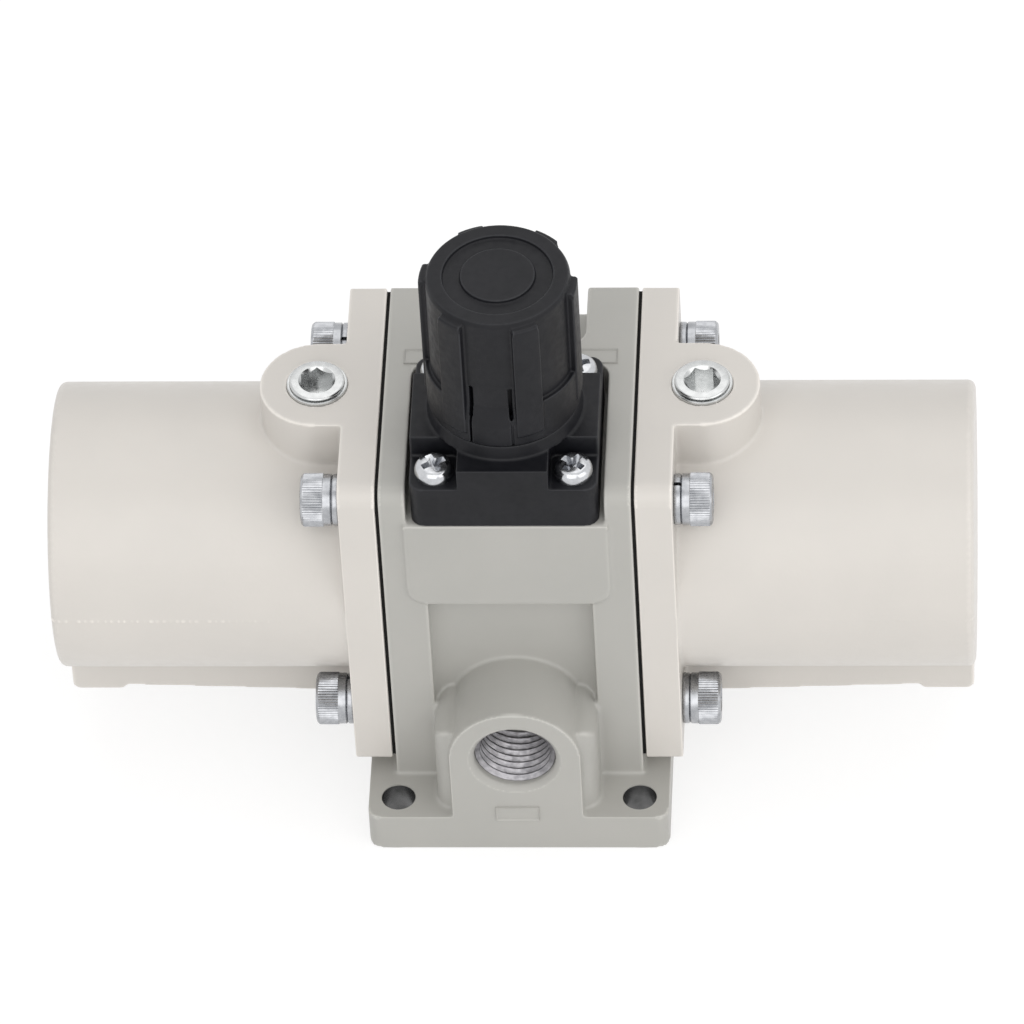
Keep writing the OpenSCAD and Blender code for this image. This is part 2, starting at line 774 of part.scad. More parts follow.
module cover_spring_washers() {
    washer_r_out = cover_head_d / 2 - 0.1;
    color(zinc) both_ends() cover_places() difference() {
        ring_x(flange_out_x, head_under_x, washer_r_out, cover_screw_d / 2 + through, 0, 0);
        translate([flange_out_x - past, -washer_split / 2, 0])
            rotate([12, 0, 0]) cube([washer_t + 2 * past, washer_split, washer_r_out + past]);
    }
}

// The right hand gauge port plug
module gauge_plug() {
    top_z = body_h + plug_stand;
    chamfer = 0.5;
    radius = plug_d / 2;
    difference() {
        union() {
            bar_z(top_z - plug_len, top_z - chamfer, radius, gauge_x, gauge_y);
            translate([gauge_x, gauge_y, top_z - chamfer])
                cylinder(h = chamfer, r1 = radius, r2 = radius - chamfer);
        }
        translate([gauge_x, gauge_y, top_z - plug_len * 0.6])
            cylinder(h = plug_len, r = plug_hex / 2 / cos(30), $fn = 6);
    }
}

module right_gauge_plug() {
    color(zinc) gauge_plug();
}

module left_gauge_plug() {
    color(zinc) mirror([1, 0, 0]) gauge_plug();
}

// The outer form of the bonnet: block with corner pockets, collar and neck
module bonnet_form() {
    difference() {
        translate([0, gov_y, pocket_z])
            linear_extrude(height = bonnet_h) round_rect(bonnet_w, bonnet_w, bonnet_corner_r);
        corner_mid = bonnet_w / 2 - bonnet_corner / 2;
        for (sx = [-1, 1], sy = [-1, 1])
            translate([sx * (corner_mid + past / 2), gov_y + sy * (corner_mid + past / 2), bonnet_head_z])
            linear_extrude(height = bonnet_h)
            round_rect(bonnet_corner + past, bonnet_corner + past, bonnet_corner_r / 2);
    }
    translate([0, gov_y, bonnet_top_z])
        cylinder(h = collar_h, r1 = collar_r, r2 = collar_r - collar_h / 4);
    bar_z(bonnet_top_z - past, neck_top_z, neck_r);
}

module bonnet() {
    color(black)
    difference() {
        bonnet_form();
        bar_z(pocket_z - past, spring_bore_z, diaphragm_r - clamp_w);
        bar_z(pocket_z, neck_inner_z, neck_bore_r);
        bar_z(neck_inner_z - past, neck_top_z + past, adjust_r + run);
        translate([0, gov_y, pocket_z]) linear_extrude(height = neck_inner_z - pocket_z)
            square([2 * (seat_nut_r + key_len + 2 * run), key_w + 4 * run], center = true);
        bonnet_places() bar_z(pocket_z - past, body_h + bonnet_h, bonnet_screw_d / 2 + through, 0, 0);
    }
}

// One pan head screw that stands on its tip side down
module pan_screw() {
    head_r = bonnet_head_d / 2;
    slot_w = bonnet_head_h * 0.42;
    dome_r = (head_r * head_r + bonnet_head_h * bonnet_head_h) / (2 * bonnet_head_h);
    difference() {
        union() {
            bar_z(bonnet_tip_z, bonnet_head_z + bonnet_head_h / 4, bonnet_screw_d / 2, 0, 0);
            translate([0, 0, bonnet_head_z]) intersection() {
                cylinder(h = bonnet_head_h, r = head_r * 0.98);
                translate([0, 0, bonnet_head_h - dome_r]) sphere(dome_r);
            }
        }
        for (turn = [0, 90])
            translate([0, 0, bonnet_head_z + bonnet_head_h])
            rotate([0, 0, turn]) cube([head_r * 1.15, slot_w, bonnet_head_h * 1.2], center = true);
    }
}

module bonnet_screws() {
    color(zinc) bonnet_places() pan_screw();
}

// A wedge about the governor axis that holds one angle of the knob
module knob_wedge(middle, width, z0, z1) {
    reach = 2 * knob_lobe_r;
    translate([0, gov_y, z0]) rotate([0, 0, middle]) linear_extrude(height = z1 - z0)
        polygon([[0, 0], [reach, -reach * tan(width / 2)], [reach, reach * tan(width / 2)]]);
}

// The outer form of the knob: panels, skirt, lobes and snap finger ramps
module knob_form() {
    rim = 0.7;
    lobe_step = 360 / lobe_count;
    ramp_h = knob_skirt_h / 2;
    slope_z = knob_top_z - rim - lobe_slope;
    bar_z(knob_z, knob_top_z - rim, knob_panel_r);
    translate([0, gov_y, knob_top_z - rim])
        cylinder(h = rim, r1 = knob_panel_r, r2 = knob_panel_r - rim / 2);
    bar_z(knob_z, knob_z + knob_skirt_h / 2, knob_skirt_r);
    for (i = [0:lobe_count - 1]) {
        intersection() {
            union() {
                bar_z(knob_z, slope_z, knob_lobe_r);
                translate([0, gov_y, slope_z])
                    cylinder(h = lobe_slope, r1 = knob_lobe_r, r2 = knob_panel_r - 0.1);
            }
            knob_wedge(lobe_turn + i * lobe_step, lobe_deg, knob_z + knob_skirt_h / 4, knob_top_z);
        }
        if (i % (lobe_count / 2) != 1) intersection() {
            bar_z(knob_z, knob_z + knob_skirt_h, knob_skirt_r);
            knob_wedge(lobe_turn + (i + 0.5) * lobe_step, lobe_step - lobe_deg + 1, knob_z, knob_top_z);
        }
        else intersection() {
            translate([0, gov_y, knob_z + knob_skirt_h / 2 - 0.01])
                cylinder(h = ramp_h, r1 = knob_skirt_r, r2 = knob_panel_r - 0.01);
            knob_wedge(lobe_turn + (i + 0.5) * lobe_step, lobe_step - lobe_deg + 1, knob_z, knob_top_z);
        }
    }
}

// The two slots that free a snap finger in the knob's wall
module finger_slots(middle) {
    slot_h = knob_skirt_h * 0.8;
    wall = knob_lobe_r - knob_bore_r + 1;
    slit = finger_slot * 0.6;
    for (side = [-1, 1])
        translate([0, gov_y, knob_z - past]) rotate([0, 0, middle + side * finger_deg]) {
            translate([knob_bore_r - 0.3, -slit / 2, 0]) cube([wall, slit, slot_h + past]);
            translate([knob_bore_r - 0.3, -finger_slot / 2, slot_h])
                cube([wall, finger_slot, slot_h]);
        }
}

module knob() {
    lobe_step = 360 / lobe_count;
    color(black)
    difference() {
        union() {
            difference() {
                knob_form();
                bar_z(knob_z - past, knob_top_z - knob_roof, knob_bore_r);
            }
            bar_z(hub_z, knob_top_z - knob_roof + past, hub_r);
        }
        ring_z(knob_top_z - dish_depth, knob_top_z + past, dish_r, disc_r);
        translate([0, gov_y, hub_z - past])
            cylinder(h = drive_top_z - hub_z + past + face_gap, r = (drive_flats / 2 + run) / cos(30), $fn = 6);
        for (i = [0:lobe_count - 1])
            if (i % (lobe_count / 2) == 1) finger_slots(lobe_turn + (i + 0.5) * lobe_step);
    }
}

module adjusting_screw() {
    color(steel) union() {
        bar_z(adjust_bottom_z, neck_top_z + face_gap, adjust_r);
        bar_z(thrust_bottom_z, thrust_top_z, thrust_r);
        translate([0, gov_y, neck_top_z])
            cylinder(h = drive_top_z - neck_top_z, r = drive_flats / 2 / cos(30), $fn = 6);
    }
}

module spring_seat_nut() {
    rim_t = seat_nut_t / 2;
    color(brass) difference() {
        union() {
            bar_z(seat_nut_z + rim_t, seat_nut_top_z, seat_nut_r);
            bar_z(seat_nut_z, seat_nut_top_z, spring_r - spring_wire_r - 2 * run);
            translate([0, gov_y, seat_nut_z + rim_t]) linear_extrude(height = seat_nut_t - rim_t)
                square([2 * (seat_nut_r + key_len), key_w], center = true);
        }
        bar_z(seat_nut_z - past, seat_nut_top_z + past, adjust_r + run);
    }
}

module regulating_spring() {
    seat_face_z = seat_nut_z + seat_nut_t / 2;
    color(steel) translate([0, gov_y, plate_z + face_gap])
        coil(spring_r, spring_wire_r, seat_face_z - plate_z - 2 * face_gap, spring_turns, 20, 8);
}

module diaphragm() {
    color(rubber) ring_z(diaphragm_z, pocket_z, diaphragm_r, stud_r + fit);
}

module diaphragm_plate() {
    pilot_r = spring_r - spring_wire_r - 2 * run;
    color(aluminium) union() {
        bar_z(pocket_z, plate_z, plate_r);
        bar_z(plate_z, plate_z + plate_t / 2, pilot_r);
        bar_z(diaphragm_z - plate_t / 2, plate_z, stud_r);
    }
}

module diaphragm_washer() {
    color(aluminium) ring_z(diaphragm_z - plate_t / 2, diaphragm_z, washer_r, stud_r + fit);
}

module governor_seat() {
    color(brass) ring_z(seat_z - valve_seat_t, seat_z, valve_bore_r - fit, valve_bore_r / 2);
}

module governor_valve() {
    stem_r = valve_bore_r / 4;
    stem_top_z = diaphragm_z - plate_t / 2;
    color(brass) union() {
        bar_z(valve_bottom_z, valve_top_z, valve_bore_r * 0.75);
        bar_z(valve_bottom_z, stem_top_z, stem_r);
        bar_z(valve_bottom_z - valve_room / 3, valve_bottom_z, stem_r);
    }
}

module governor_valve_spring() {
    color(steel) translate([0, gov_y, valve_floor_z])
        coil(valve_bore_r * 0.45, 0.3, valve_bottom_z - valve_floor_z - face_gap, 4);
}

module piston_rod() {
    tapped = piston_head_x - piston_bolt_len - tap_past;
    color(steel) difference() {
        bar_x(-piston_x, piston_x, rod_r);
        both_ends() bar_x(tapped, piston_x + past, piston_bolt_r + fit);
    }
}

// The right hand piston with its two grooves and sunk bolt head
module piston() {
    difference() {
        bar_x(piston_x, piston_out_x, piston_r);
        ring_x(seal_x - groove_play, seal_x + seal_w + groove_play, bore_r + past, piston_r - seal_depth);
        ring_x(wear_x - groove_play, wear_x + wear_w + groove_play, bore_r + past, piston_r - wear_depth);
        bar_x(piston_x - past, piston_out_x + past, piston_bolt_r + fit);
        bar_x(piston_head_x, piston_out_x + past, piston_head_r + through);
        translate([piston_out_x - piston_t / 4, 0, 0]) ring_x(0, piston_t, piston_r * 0.75, piston_r * 0.42);
    }
}

module right_piston() {
    color(aluminium) piston();
}

module left_piston() {
    color(aluminium) mirror([1, 0, 0]) piston();
}

// The right hand piston seal, with lips towards both chambers
module piston_seal() {
    inner_r = piston_r - seal_depth + fit;
    lip = seal_w / 4;
    difference() {
        ring_x(seal_x, seal_x + seal_w, bore_r - run, inner_r);
        ring_x(seal_x + lip, seal_x + seal_w - lip, bore_r + past, bore_r - piston_gap);
    }
}

module right_piston_seal() {
    color(rubber) piston_seal();
}

module left_piston_seal() {
    color(rubber) mirror([1, 0, 0]) piston_seal();
}

module right_wear_ring() {
    color(polymer) ring_x(wear_x, wear_x + wear_w, bore_r - run, piston_r - wear_depth + fit);
}

module left_wear_ring() {
    color(polymer) mirror([1, 0, 0])
        ring_x(wear_x, wear_x + wear_w, bore_r - run, piston_r - wear_depth + fit);
}

module piston_bolts() {
    color(zinc) both_ends() translate([0, 0, axis_z])
        cap_screw(piston_head_x, piston_bolt_len, piston_bolt_r, piston_head_r,
            piston_head_h, piston_bolt_r * 1.6);
}

module rod_bush() {
    half = face_x - rod_pocket;
    color(bronze) ring_x(-half, half, bush_r, rod_r + run);
}

module rod_seals() {
    color(rubber) both_ends() ring_x(rod_seal_x, rod_seal_x + rod_seal_w, rod_seal_r, rod_r + run);
}

module rod_seal_retainers() {
    color(steel) both_ends() ring_x(retainer_x, face_x, rod_seal_r, rod_r + pass_gap);
}

module end_bumpers() {
    color(rubber) both_ends()
        ring_x(chamber_end_x + bumper_groove - bumper_t, chamber_end_x + bumper_groove,
            bumper_r, bumper_r - bumper_w);
}

module valve_sleeve() {
    window_pitch = 2 * sleeve_end_x / (window_rows + 1);
    color(brass) difference() {
        ring_x(-sleeve_end_x, sleeve_end_x, sleeve_r - fit, spool_r + run, 0, valve_z);
        for (i = [1:window_rows], turn = [0, 90])
            translate([-sleeve_end_x + i * window_pitch, 0, valve_z]) rotate([turn, 0, 0])
            cylinder(h = 4 * sleeve_r, r = window_r, center = true);
    }
}

module valve_end_caps() {
    color(aluminium) both_ends()
        ring_x(valve_cap_x, face_x, sleeve_r - fit, push_pin_r + run, 0, valve_z);
}

// Place of one spool seal along X, counted from the left
function spool_seal_x(i) =
    -spool_end_x + (i + 0.5) * 2 * spool_end_x / spool_seal_count - spool_seal_w / 2;

module spool() {
    neck_step = 2 * spool_end_x / spool_seal_count;
    color(steel) difference() {
        bar_x(-spool_end_x, spool_end_x, spool_r - fit, 0, valve_z);
        for (i = [0:spool_seal_count - 1])
            ring_x(spool_seal_x(i) - groove_play, spool_seal_x(i) + spool_seal_w + groove_play,
                spool_r + past, spool_r - spool_seal_depth, 0, valve_z);
        for (i = [1:2:spool_seal_count - 1])
            translate([-spool_end_x + i * neck_step, 0, 0])
            ring_x(-neck_step / 5, neck_step / 5, spool_r + past, spool_neck_r, 0, valve_z);
    }
}

module spool_seals() {
    color(rubber) for (i = [0:spool_seal_count - 1])
        ring_x(spool_seal_x(i), spool_seal_x(i) + spool_seal_w,
            spool_r, spool_r - spool_seal_depth + fit, 0, valve_z);
}

// The right hand push pin, which the piston meets at the end of its stroke
module push_pin() {
    tip = push_pin_r * 0.3;
    bar_x(spool_end_x, pin_tip_x - tip, push_pin_r, 0, valve_z);
    translate([pin_tip_x - tip, 0, valve_z]) rotate([0, 90, 0])
        cylinder(h = tip, r1 = push_pin_r, r2 = push_pin_r - tip);
}

module right_push_pin() {
    color(steel) push_pin();
}

module left_push_pin() {
    color(steel) mirror([1, 0, 0]) push_pin();
}

module inlet_valve_cages() {
    spoke = check_hole_r / 2;
    color(brass) both_ends() difference() {
        bar_x(cage_x, face_x, check_r - fit, check_back, inlet_z);
        for (turn = [0:90:270])
            translate([cage_x - past, check_back, inlet_z]) rotate([turn, 0, 0])
            translate([0, 0, check_r * 0.55]) rotate([0, 90, 0]) cylinder(h = 3 * cage_t, r = spoke);
    }
}

module outlet_valve_seats() {
    color(brass) both_ends()
        ring_x(cage_x, face_x, check_r - fit, check_hole_r, check_back, outlet_z);
}

// One valve disc along X
module valve_disc(x0, z) {
    bar_x(x0, x0 + disc_t, disc_r_out, check_back, z);
}

module right_inlet_disc() {
    color(rubber) valve_disc(inlet_disc_x, inlet_z);
}

module left_inlet_disc() {
    color(rubber) mirror([1, 0, 0]) valve_disc(inlet_disc_x, inlet_z);
}

module right_outlet_disc() {
    color(rubber) valve_disc(outlet_disc_x, outlet_z);
}

module left_outlet_disc() {
    color(rubber) mirror([1, 0, 0]) valve_disc(outlet_disc_x, outlet_z);
}

// One valve spring along X between two faces
module valve_spring(x0, x1, z) {
    translate([x0 + face_gap, check_back, z]) rotate([0, 90, 0])
        coil(disc_r_out * 0.7, 0.25, x1 - x0 - 2 * face_gap, 3, 12);
}

module right_inlet_spring() {
    color(steel) valve_spring(inlet_disc_x + disc_t, cage_x, inlet_z);
}

module left_inlet_spring() {
    color(steel) mirror([1, 0, 0]) valve_spring(inlet_disc_x + disc_t, cage_x, inlet_z);
}

module right_outlet_spring() {
    color(steel) valve_spring(check_floor_x, outlet_disc_x, outlet_z);
}

module left_outlet_spring() {
    color(steel) mirror([1, 0, 0]) valve_spring(check_floor_x, outlet_disc_x, outlet_z);
}

body();
left_cover();
right_cover();
left_gasket();
right_gasket();
cover_screws();
cover_spring_washers();
left_gauge_plug();
right_gauge_plug();
bonnet();
bonnet_screws();
knob();
adjusting_screw();
spring_seat_nut();
regulating_spring();
diaphragm();
diaphragm_plate();
diaphragm_washer();
governor_seat();
governor_valve();
governor_valve_spring();
piston_rod();
left_piston();
right_piston();
left_piston_seal();
right_piston_seal();
left_wear_ring();
right_wear_ring();
piston_bolts();
rod_bush();
rod_seals();
rod_seal_retainers();
end_bumpers();
valve_sleeve();
valve_end_caps();
spool();
spool_seals();
left_push_pin();
right_push_pin();
inlet_valve_cages();
outlet_valve_seats();
left_inlet_disc();
right_inlet_disc();
left_outlet_disc();
right_outlet_disc();
left_inlet_spring();
right_inlet_spring();
left_outlet_spring();
right_outlet_spring();
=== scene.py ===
"""Looks of an air pressure booster, dressed around its packed construction.

Lengths are in metres, in the frame of the construction: the foot plate stands on z = 0, the two cylinders
lie along X, the exhaust port faces -Y, and the governor with its knob stands along +Z.
"""
import json
import logging
import math
from contextlib import contextmanager
from dataclasses import dataclass, field
from enum import Enum
from itertools import product
from typing import Callable, ClassVar, Iterator, Sequence

import bpy
import bmesh
import numpy as np
from mathutils import Matrix, Vector


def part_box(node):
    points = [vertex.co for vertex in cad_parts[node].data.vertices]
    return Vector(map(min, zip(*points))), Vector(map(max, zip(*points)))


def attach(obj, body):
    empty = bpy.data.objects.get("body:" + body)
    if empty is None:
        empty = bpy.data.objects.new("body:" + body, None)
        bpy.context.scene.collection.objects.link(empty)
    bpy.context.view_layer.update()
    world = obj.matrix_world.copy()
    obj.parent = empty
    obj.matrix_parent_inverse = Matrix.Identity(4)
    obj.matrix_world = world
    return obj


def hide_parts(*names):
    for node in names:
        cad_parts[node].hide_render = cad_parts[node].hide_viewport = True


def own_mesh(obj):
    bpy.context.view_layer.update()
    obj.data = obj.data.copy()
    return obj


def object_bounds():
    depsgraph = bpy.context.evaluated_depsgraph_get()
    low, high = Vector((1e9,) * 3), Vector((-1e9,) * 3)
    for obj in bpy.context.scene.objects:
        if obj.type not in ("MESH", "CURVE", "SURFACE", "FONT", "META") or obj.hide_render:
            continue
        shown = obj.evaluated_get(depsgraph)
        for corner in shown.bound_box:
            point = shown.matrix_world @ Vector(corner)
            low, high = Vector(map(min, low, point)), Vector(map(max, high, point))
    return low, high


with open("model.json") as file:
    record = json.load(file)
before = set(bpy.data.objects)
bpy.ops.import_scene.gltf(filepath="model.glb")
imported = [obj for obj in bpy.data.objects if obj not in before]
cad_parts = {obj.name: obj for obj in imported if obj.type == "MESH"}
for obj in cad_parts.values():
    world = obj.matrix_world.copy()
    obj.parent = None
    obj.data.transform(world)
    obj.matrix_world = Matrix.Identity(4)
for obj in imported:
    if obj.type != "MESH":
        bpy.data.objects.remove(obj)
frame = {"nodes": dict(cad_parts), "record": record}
CAD_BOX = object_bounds()
MM = 0.001
LOG = logging.getLogger("booster")

Colour = tuple[float, float, float]
Outline = Sequence[tuple[float, float]]


class Side(Enum):
    """Which end of the body a piece belongs to, as the sign of its X."""

    LEFT = -1
    RIGHT = 1

    @property
    def word(self) -> str:
        """The side's name as the nodes spell it."""
        return self.name.lower()


class Axis(Enum):
    """One of the axes of the frame."""

    X = 0
    Y = 1
    Z = 2


def middle_of(node: str) -> Vector:
    """The middle of a construction node's box."""
    low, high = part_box(node)
    return (low + high) / 2


def mounts(ending: str) -> list[dict]:
    """The record's mounts whose names end so."""
    return [mount for mount in frame["record"]["mounts"] if mount["name"].endswith(ending)]


class Bench:
    """The modeller's hand tools, each one step of work."""

    merge_gap: ClassVar[float] = 0.001 * MM
    cutter_past: ClassVar[float] = 1 * MM
    cone_steps: ClassVar[int] = 48
    cone_share: ClassVar[float] = 1.03

    @staticmethod
    def pick(*pieces: bpy.types.Object) -> None:
        """Selects these pieces alone and makes the first of them active."""
        bpy.ops.object.select_all(action="DESELECT")
        for piece in pieces:
            piece.select_set(True)
        bpy.context.view_layer.objects.active = pieces[0]

    @staticmethod
    @contextmanager
    def editing(piece: bpy.types.Object) -> Iterator[bmesh.types.BMesh]:
        """Opens a piece in edit mode and leaves it again.

        Args:
            piece: The piece to edit.

        Yields:
            The piece's live mesh, for choosing what is selected.
        """
        Bench.pick(piece)
        bpy.ops.object.mode_set(mode="EDIT")
        bpy.ops.mesh.select_mode(type="VERT")
        yield bmesh.from_edit_mesh(piece.data)
        bpy.ops.object.mode_set(mode="OBJECT")

    @staticmethod
    def choose_faces(mesh: bmesh.types.BMesh, wanted: Callable[[Vector, Vector], bool]) -> None:
        """Selects the faces that a test wants.

        Args:
            mesh: The live mesh.
            wanted: Takes a face's middle and its normal.
        """
        bpy.ops.mesh.select_mode(type="FACE")
        for face in mesh.faces:
            face.select_set(wanted(face.calc_center_median(), face.normal))
        mesh.select_flush_mode()

    @staticmethod
    def draw_in(piece: bpy.types.Object, wanted: Callable[[Vector], bool], x: float, y: float) -> None:
        """Draws some points of a piece towards the Z axis.

        Args:
            piece: The piece to edit.
            wanted: Takes a point's place and tells whether it moves.
            x: The share of its X that a point keeps.
            y: The share of its Y that a point keeps.
        """
        with Bench.editing(piece) as mesh:
            bpy.ops.mesh.select_mode(type="VERT")
            for point in mesh.verts:
                point.select_set(wanted(point.co))
            mesh.select_flush_mode()
            bpy.ops.transform.resize(value=(x, y, 1), center_override=(0, 0, 0))

    @staticmethod
    def modify(piece: bpy.types.Object, kind: str, **settings: object) -> None:
        """Adds one modifier with these settings and applies it."""
        Bench.pick(piece)
        modifier = piece.modifiers.new(kind.lower(), kind)
        for name, value in settings.items():
            setattr(modifier, name, value)
        bpy.ops.object.modifier_apply(modifier=modifier.name)

    @staticmethod
    def enter(name: str, data: bpy.types.ID) -> bpy.types.Object:
        """Makes an object of a mesh, lamp or camera and puts it in the scene."""
        made = bpy.data.objects.new(name, data)
        bpy.context.scene.collection.objects.link(made)
        return made

    @staticmethod
    def copy_node(node: str, name: str) -> bpy.types.Object:
        """Copies a node's shape into a new piece with its seams merged.

        Args:
            node: The construction node to copy.
            name: The new piece's name.

        Returns:
            The new piece, closed and with no material.
        """
        mesh = frame["nodes"][node].data.copy()
        mesh.materials.clear()
        piece = Bench.enter(name, mesh)
        with Bench.editing(piece):
            bpy.ops.mesh.select_all(action="SELECT")
            bpy.ops.mesh.remove_doubles(threshold=Bench.merge_gap)
        return piece

    @staticmethod
    def turn(name: str, outline: Outline, steps: int, pitch: float = 0.0,
             turns: int = 1) -> bpy.types.Object:
        """Draws an outline and sweeps it round Z, as on a lathe.

        Args:
            name: The new piece's name.
            outline: Points of radius and height, in order.
            steps: Columns in one turn.
            pitch: Rise in one turn, for a thread.
            turns: Number of turns.

        Returns:
            The swept piece.
        """
        bpy.ops.object.select_all(action="DESELECT")
        start_r, start_z = outline[0]
        bpy.ops.mesh.primitive_plane_add(size=MM, location=(start_r, 0, start_z))
        piece = bpy.context.object
        piece.name = name
        with Bench.editing(piece):
            bpy.ops.mesh.select_all(action="SELECT")
            bpy.ops.mesh.merge(type="CENTER")
            for (r0, z0), (r1, z1) in zip(outline, outline[1:]):
                step = {"value": (r1 - r0, 0, z1 - z0)}
                bpy.ops.mesh.extrude_vertices_move(TRANSFORM_OT_translate=step)
        Bench.settle(piece)
        Bench.modify(piece, "SCREW", axis="Z", angle=2 * math.pi, screw_offset=pitch, iterations=turns,
                     steps=steps, render_steps=steps, use_merge_vertices=True,
                     merge_threshold=Bench.merge_gap)
        Bench.close(piece)
        return piece

    @staticmethod
    def block(size: Sequence[float], middle: Sequence[float], turn: float = 0.0) -> bpy.types.Object:
        """Sets out a box.

        Args:
            size: Its lengths along X, Y and Z.
            middle: Where its middle stands.
            turn: Its angle about Z.

        Returns:
            The box.
        """
        bpy.ops.object.select_all(action="DESELECT")
        bpy.ops.mesh.primitive_cube_add(size=1)
        piece = bpy.context.object
        piece.scale = size
        piece.location = middle
        piece.rotation_euler.z = turn
        Bench.settle(piece)
        return piece

    @staticmethod
    def close(piece: bpy.types.Object) -> None:
        """Merges a piece's doubled points and turns its faces outwards."""
        with Bench.editing(piece):
            bpy.ops.mesh.select_all(action="SELECT")
            bpy.ops.mesh.remove_doubles(threshold=Bench.merge_gap)
            bpy.ops.mesh.normals_make_consistent(inside=False)

    @staticmethod
    def settle(piece: bpy.types.Object) -> None:
        """Moves a piece's place, turn and scale into its mesh."""
        Bench.pick(piece)
        bpy.ops.object.transform_apply(location=True, rotation=True, scale=True)

    @staticmethod
    def scale(piece: bpy.types.Object, share: float) -> None:
        """Scales a piece about the origin."""
        piece.scale = (share, share, share)
        Bench.settle(piece)

    @staticmethod
    def cut(piece: bpy.types.Object, tool: bpy.types.Object, operation: str = "DIFFERENCE") -> None:
        """Cuts a closed shape out of a piece, or joins it on, and throws that shape away.

        Args:
            piece: The piece to work on, blown up meanwhile so that small steps count.
            tool: The other closed shape.
            operation: What is done with it.
        """
        Bench.scale(piece, 1 / MM)
        Bench.scale(tool, 1 / MM)
        Bench.modify(piece, "BOOLEAN", operation=operation, solver="EXACT", object=tool)
        bpy.data.objects.remove(tool)
        Bench.scale(piece, MM)

    @staticmethod
    def hexagon(across_flats: float, top: float, depth: float) -> bpy.types.Object:
        """A cutter for a hexagon socket with a lead-in cone.

        Args:
            across_flats: Size of the socket.
            top: Height of the face that it sinks into.
            depth: Depth of the socket.

        Returns:
            The closed cutter, along Z.
        """
        corner_r = across_flats / 2 / math.cos(math.pi / 6)
        past = Bench.cutter_past
        middle = (0, 0, top - depth / 2 + past / 2)
        bpy.ops.object.select_all(action="DESELECT")
        bpy.ops.mesh.primitive_cylinder_add(vertices=6, radius=corner_r, depth=depth + past,
                                            location=middle)
        cutter = bpy.context.object
        Bench.settle(cutter)
        mouth_r = corner_r * Bench.cone_share
        cone = [(0, top - mouth_r), (mouth_r, top), (mouth_r, top + past), (0, top + past)]
        Bench.cut(cutter, Bench.turn("lead_in", cone, Bench.cone_steps), "UNION")
        return cutter

    @staticmethod
    def stand(model: bpy.types.Object, name: str, places: Sequence[Matrix]) -> bpy.types.Object:
        """Copies one model to every place and joins the copies.

        Args:
            model: The piece modelled once, about the origin.
            name: The joined piece's name.
            places: Where each copy stands.

        Returns:
            One piece that holds all the copies, at the origin.
        """
        copies = []
        for place in places:
            copy = Bench.enter(name, model.data.copy())
            copy.matrix_world = place
            Bench.settle(copy)
            copies.append(copy)
        bpy.data.objects.remove(model)
        Bench.pick(*copies)
        if len(copies) > 1:
            bpy.ops.object.join()
        copies[0].name = name
        return copies[0]

    @staticmethod
    def shade(piece: bpy.types.Object, degrees: float = 32) -> None:
        """Shades a piece smooth except across edges sharper than this."""
        Bench.pick(piece)
        bpy.ops.object.shade_smooth_by_angle(angle=math.radians(degrees))

    @staticmethod
    def hand_over(piece: bpy.types.Object, finish: "Finish", slot: str, body: str, *nodes: str) -> None:
        """Gives a finished piece its look and its place in the assembly.

        Args:
            piece: The finished piece.
            finish: Its finish.
            slot: The record's material slot of the piece; not used.
            body: The body that it moves with.
            nodes: The construction nodes that it stands for.
        """
        piece.data.materials.clear()
        piece.data.materials.append(finish.material())
        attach(piece, body)
        if nodes:
            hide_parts(*nodes)
        LOG.info("%s: %d faces", piece.name, len(piece.data.polygons))


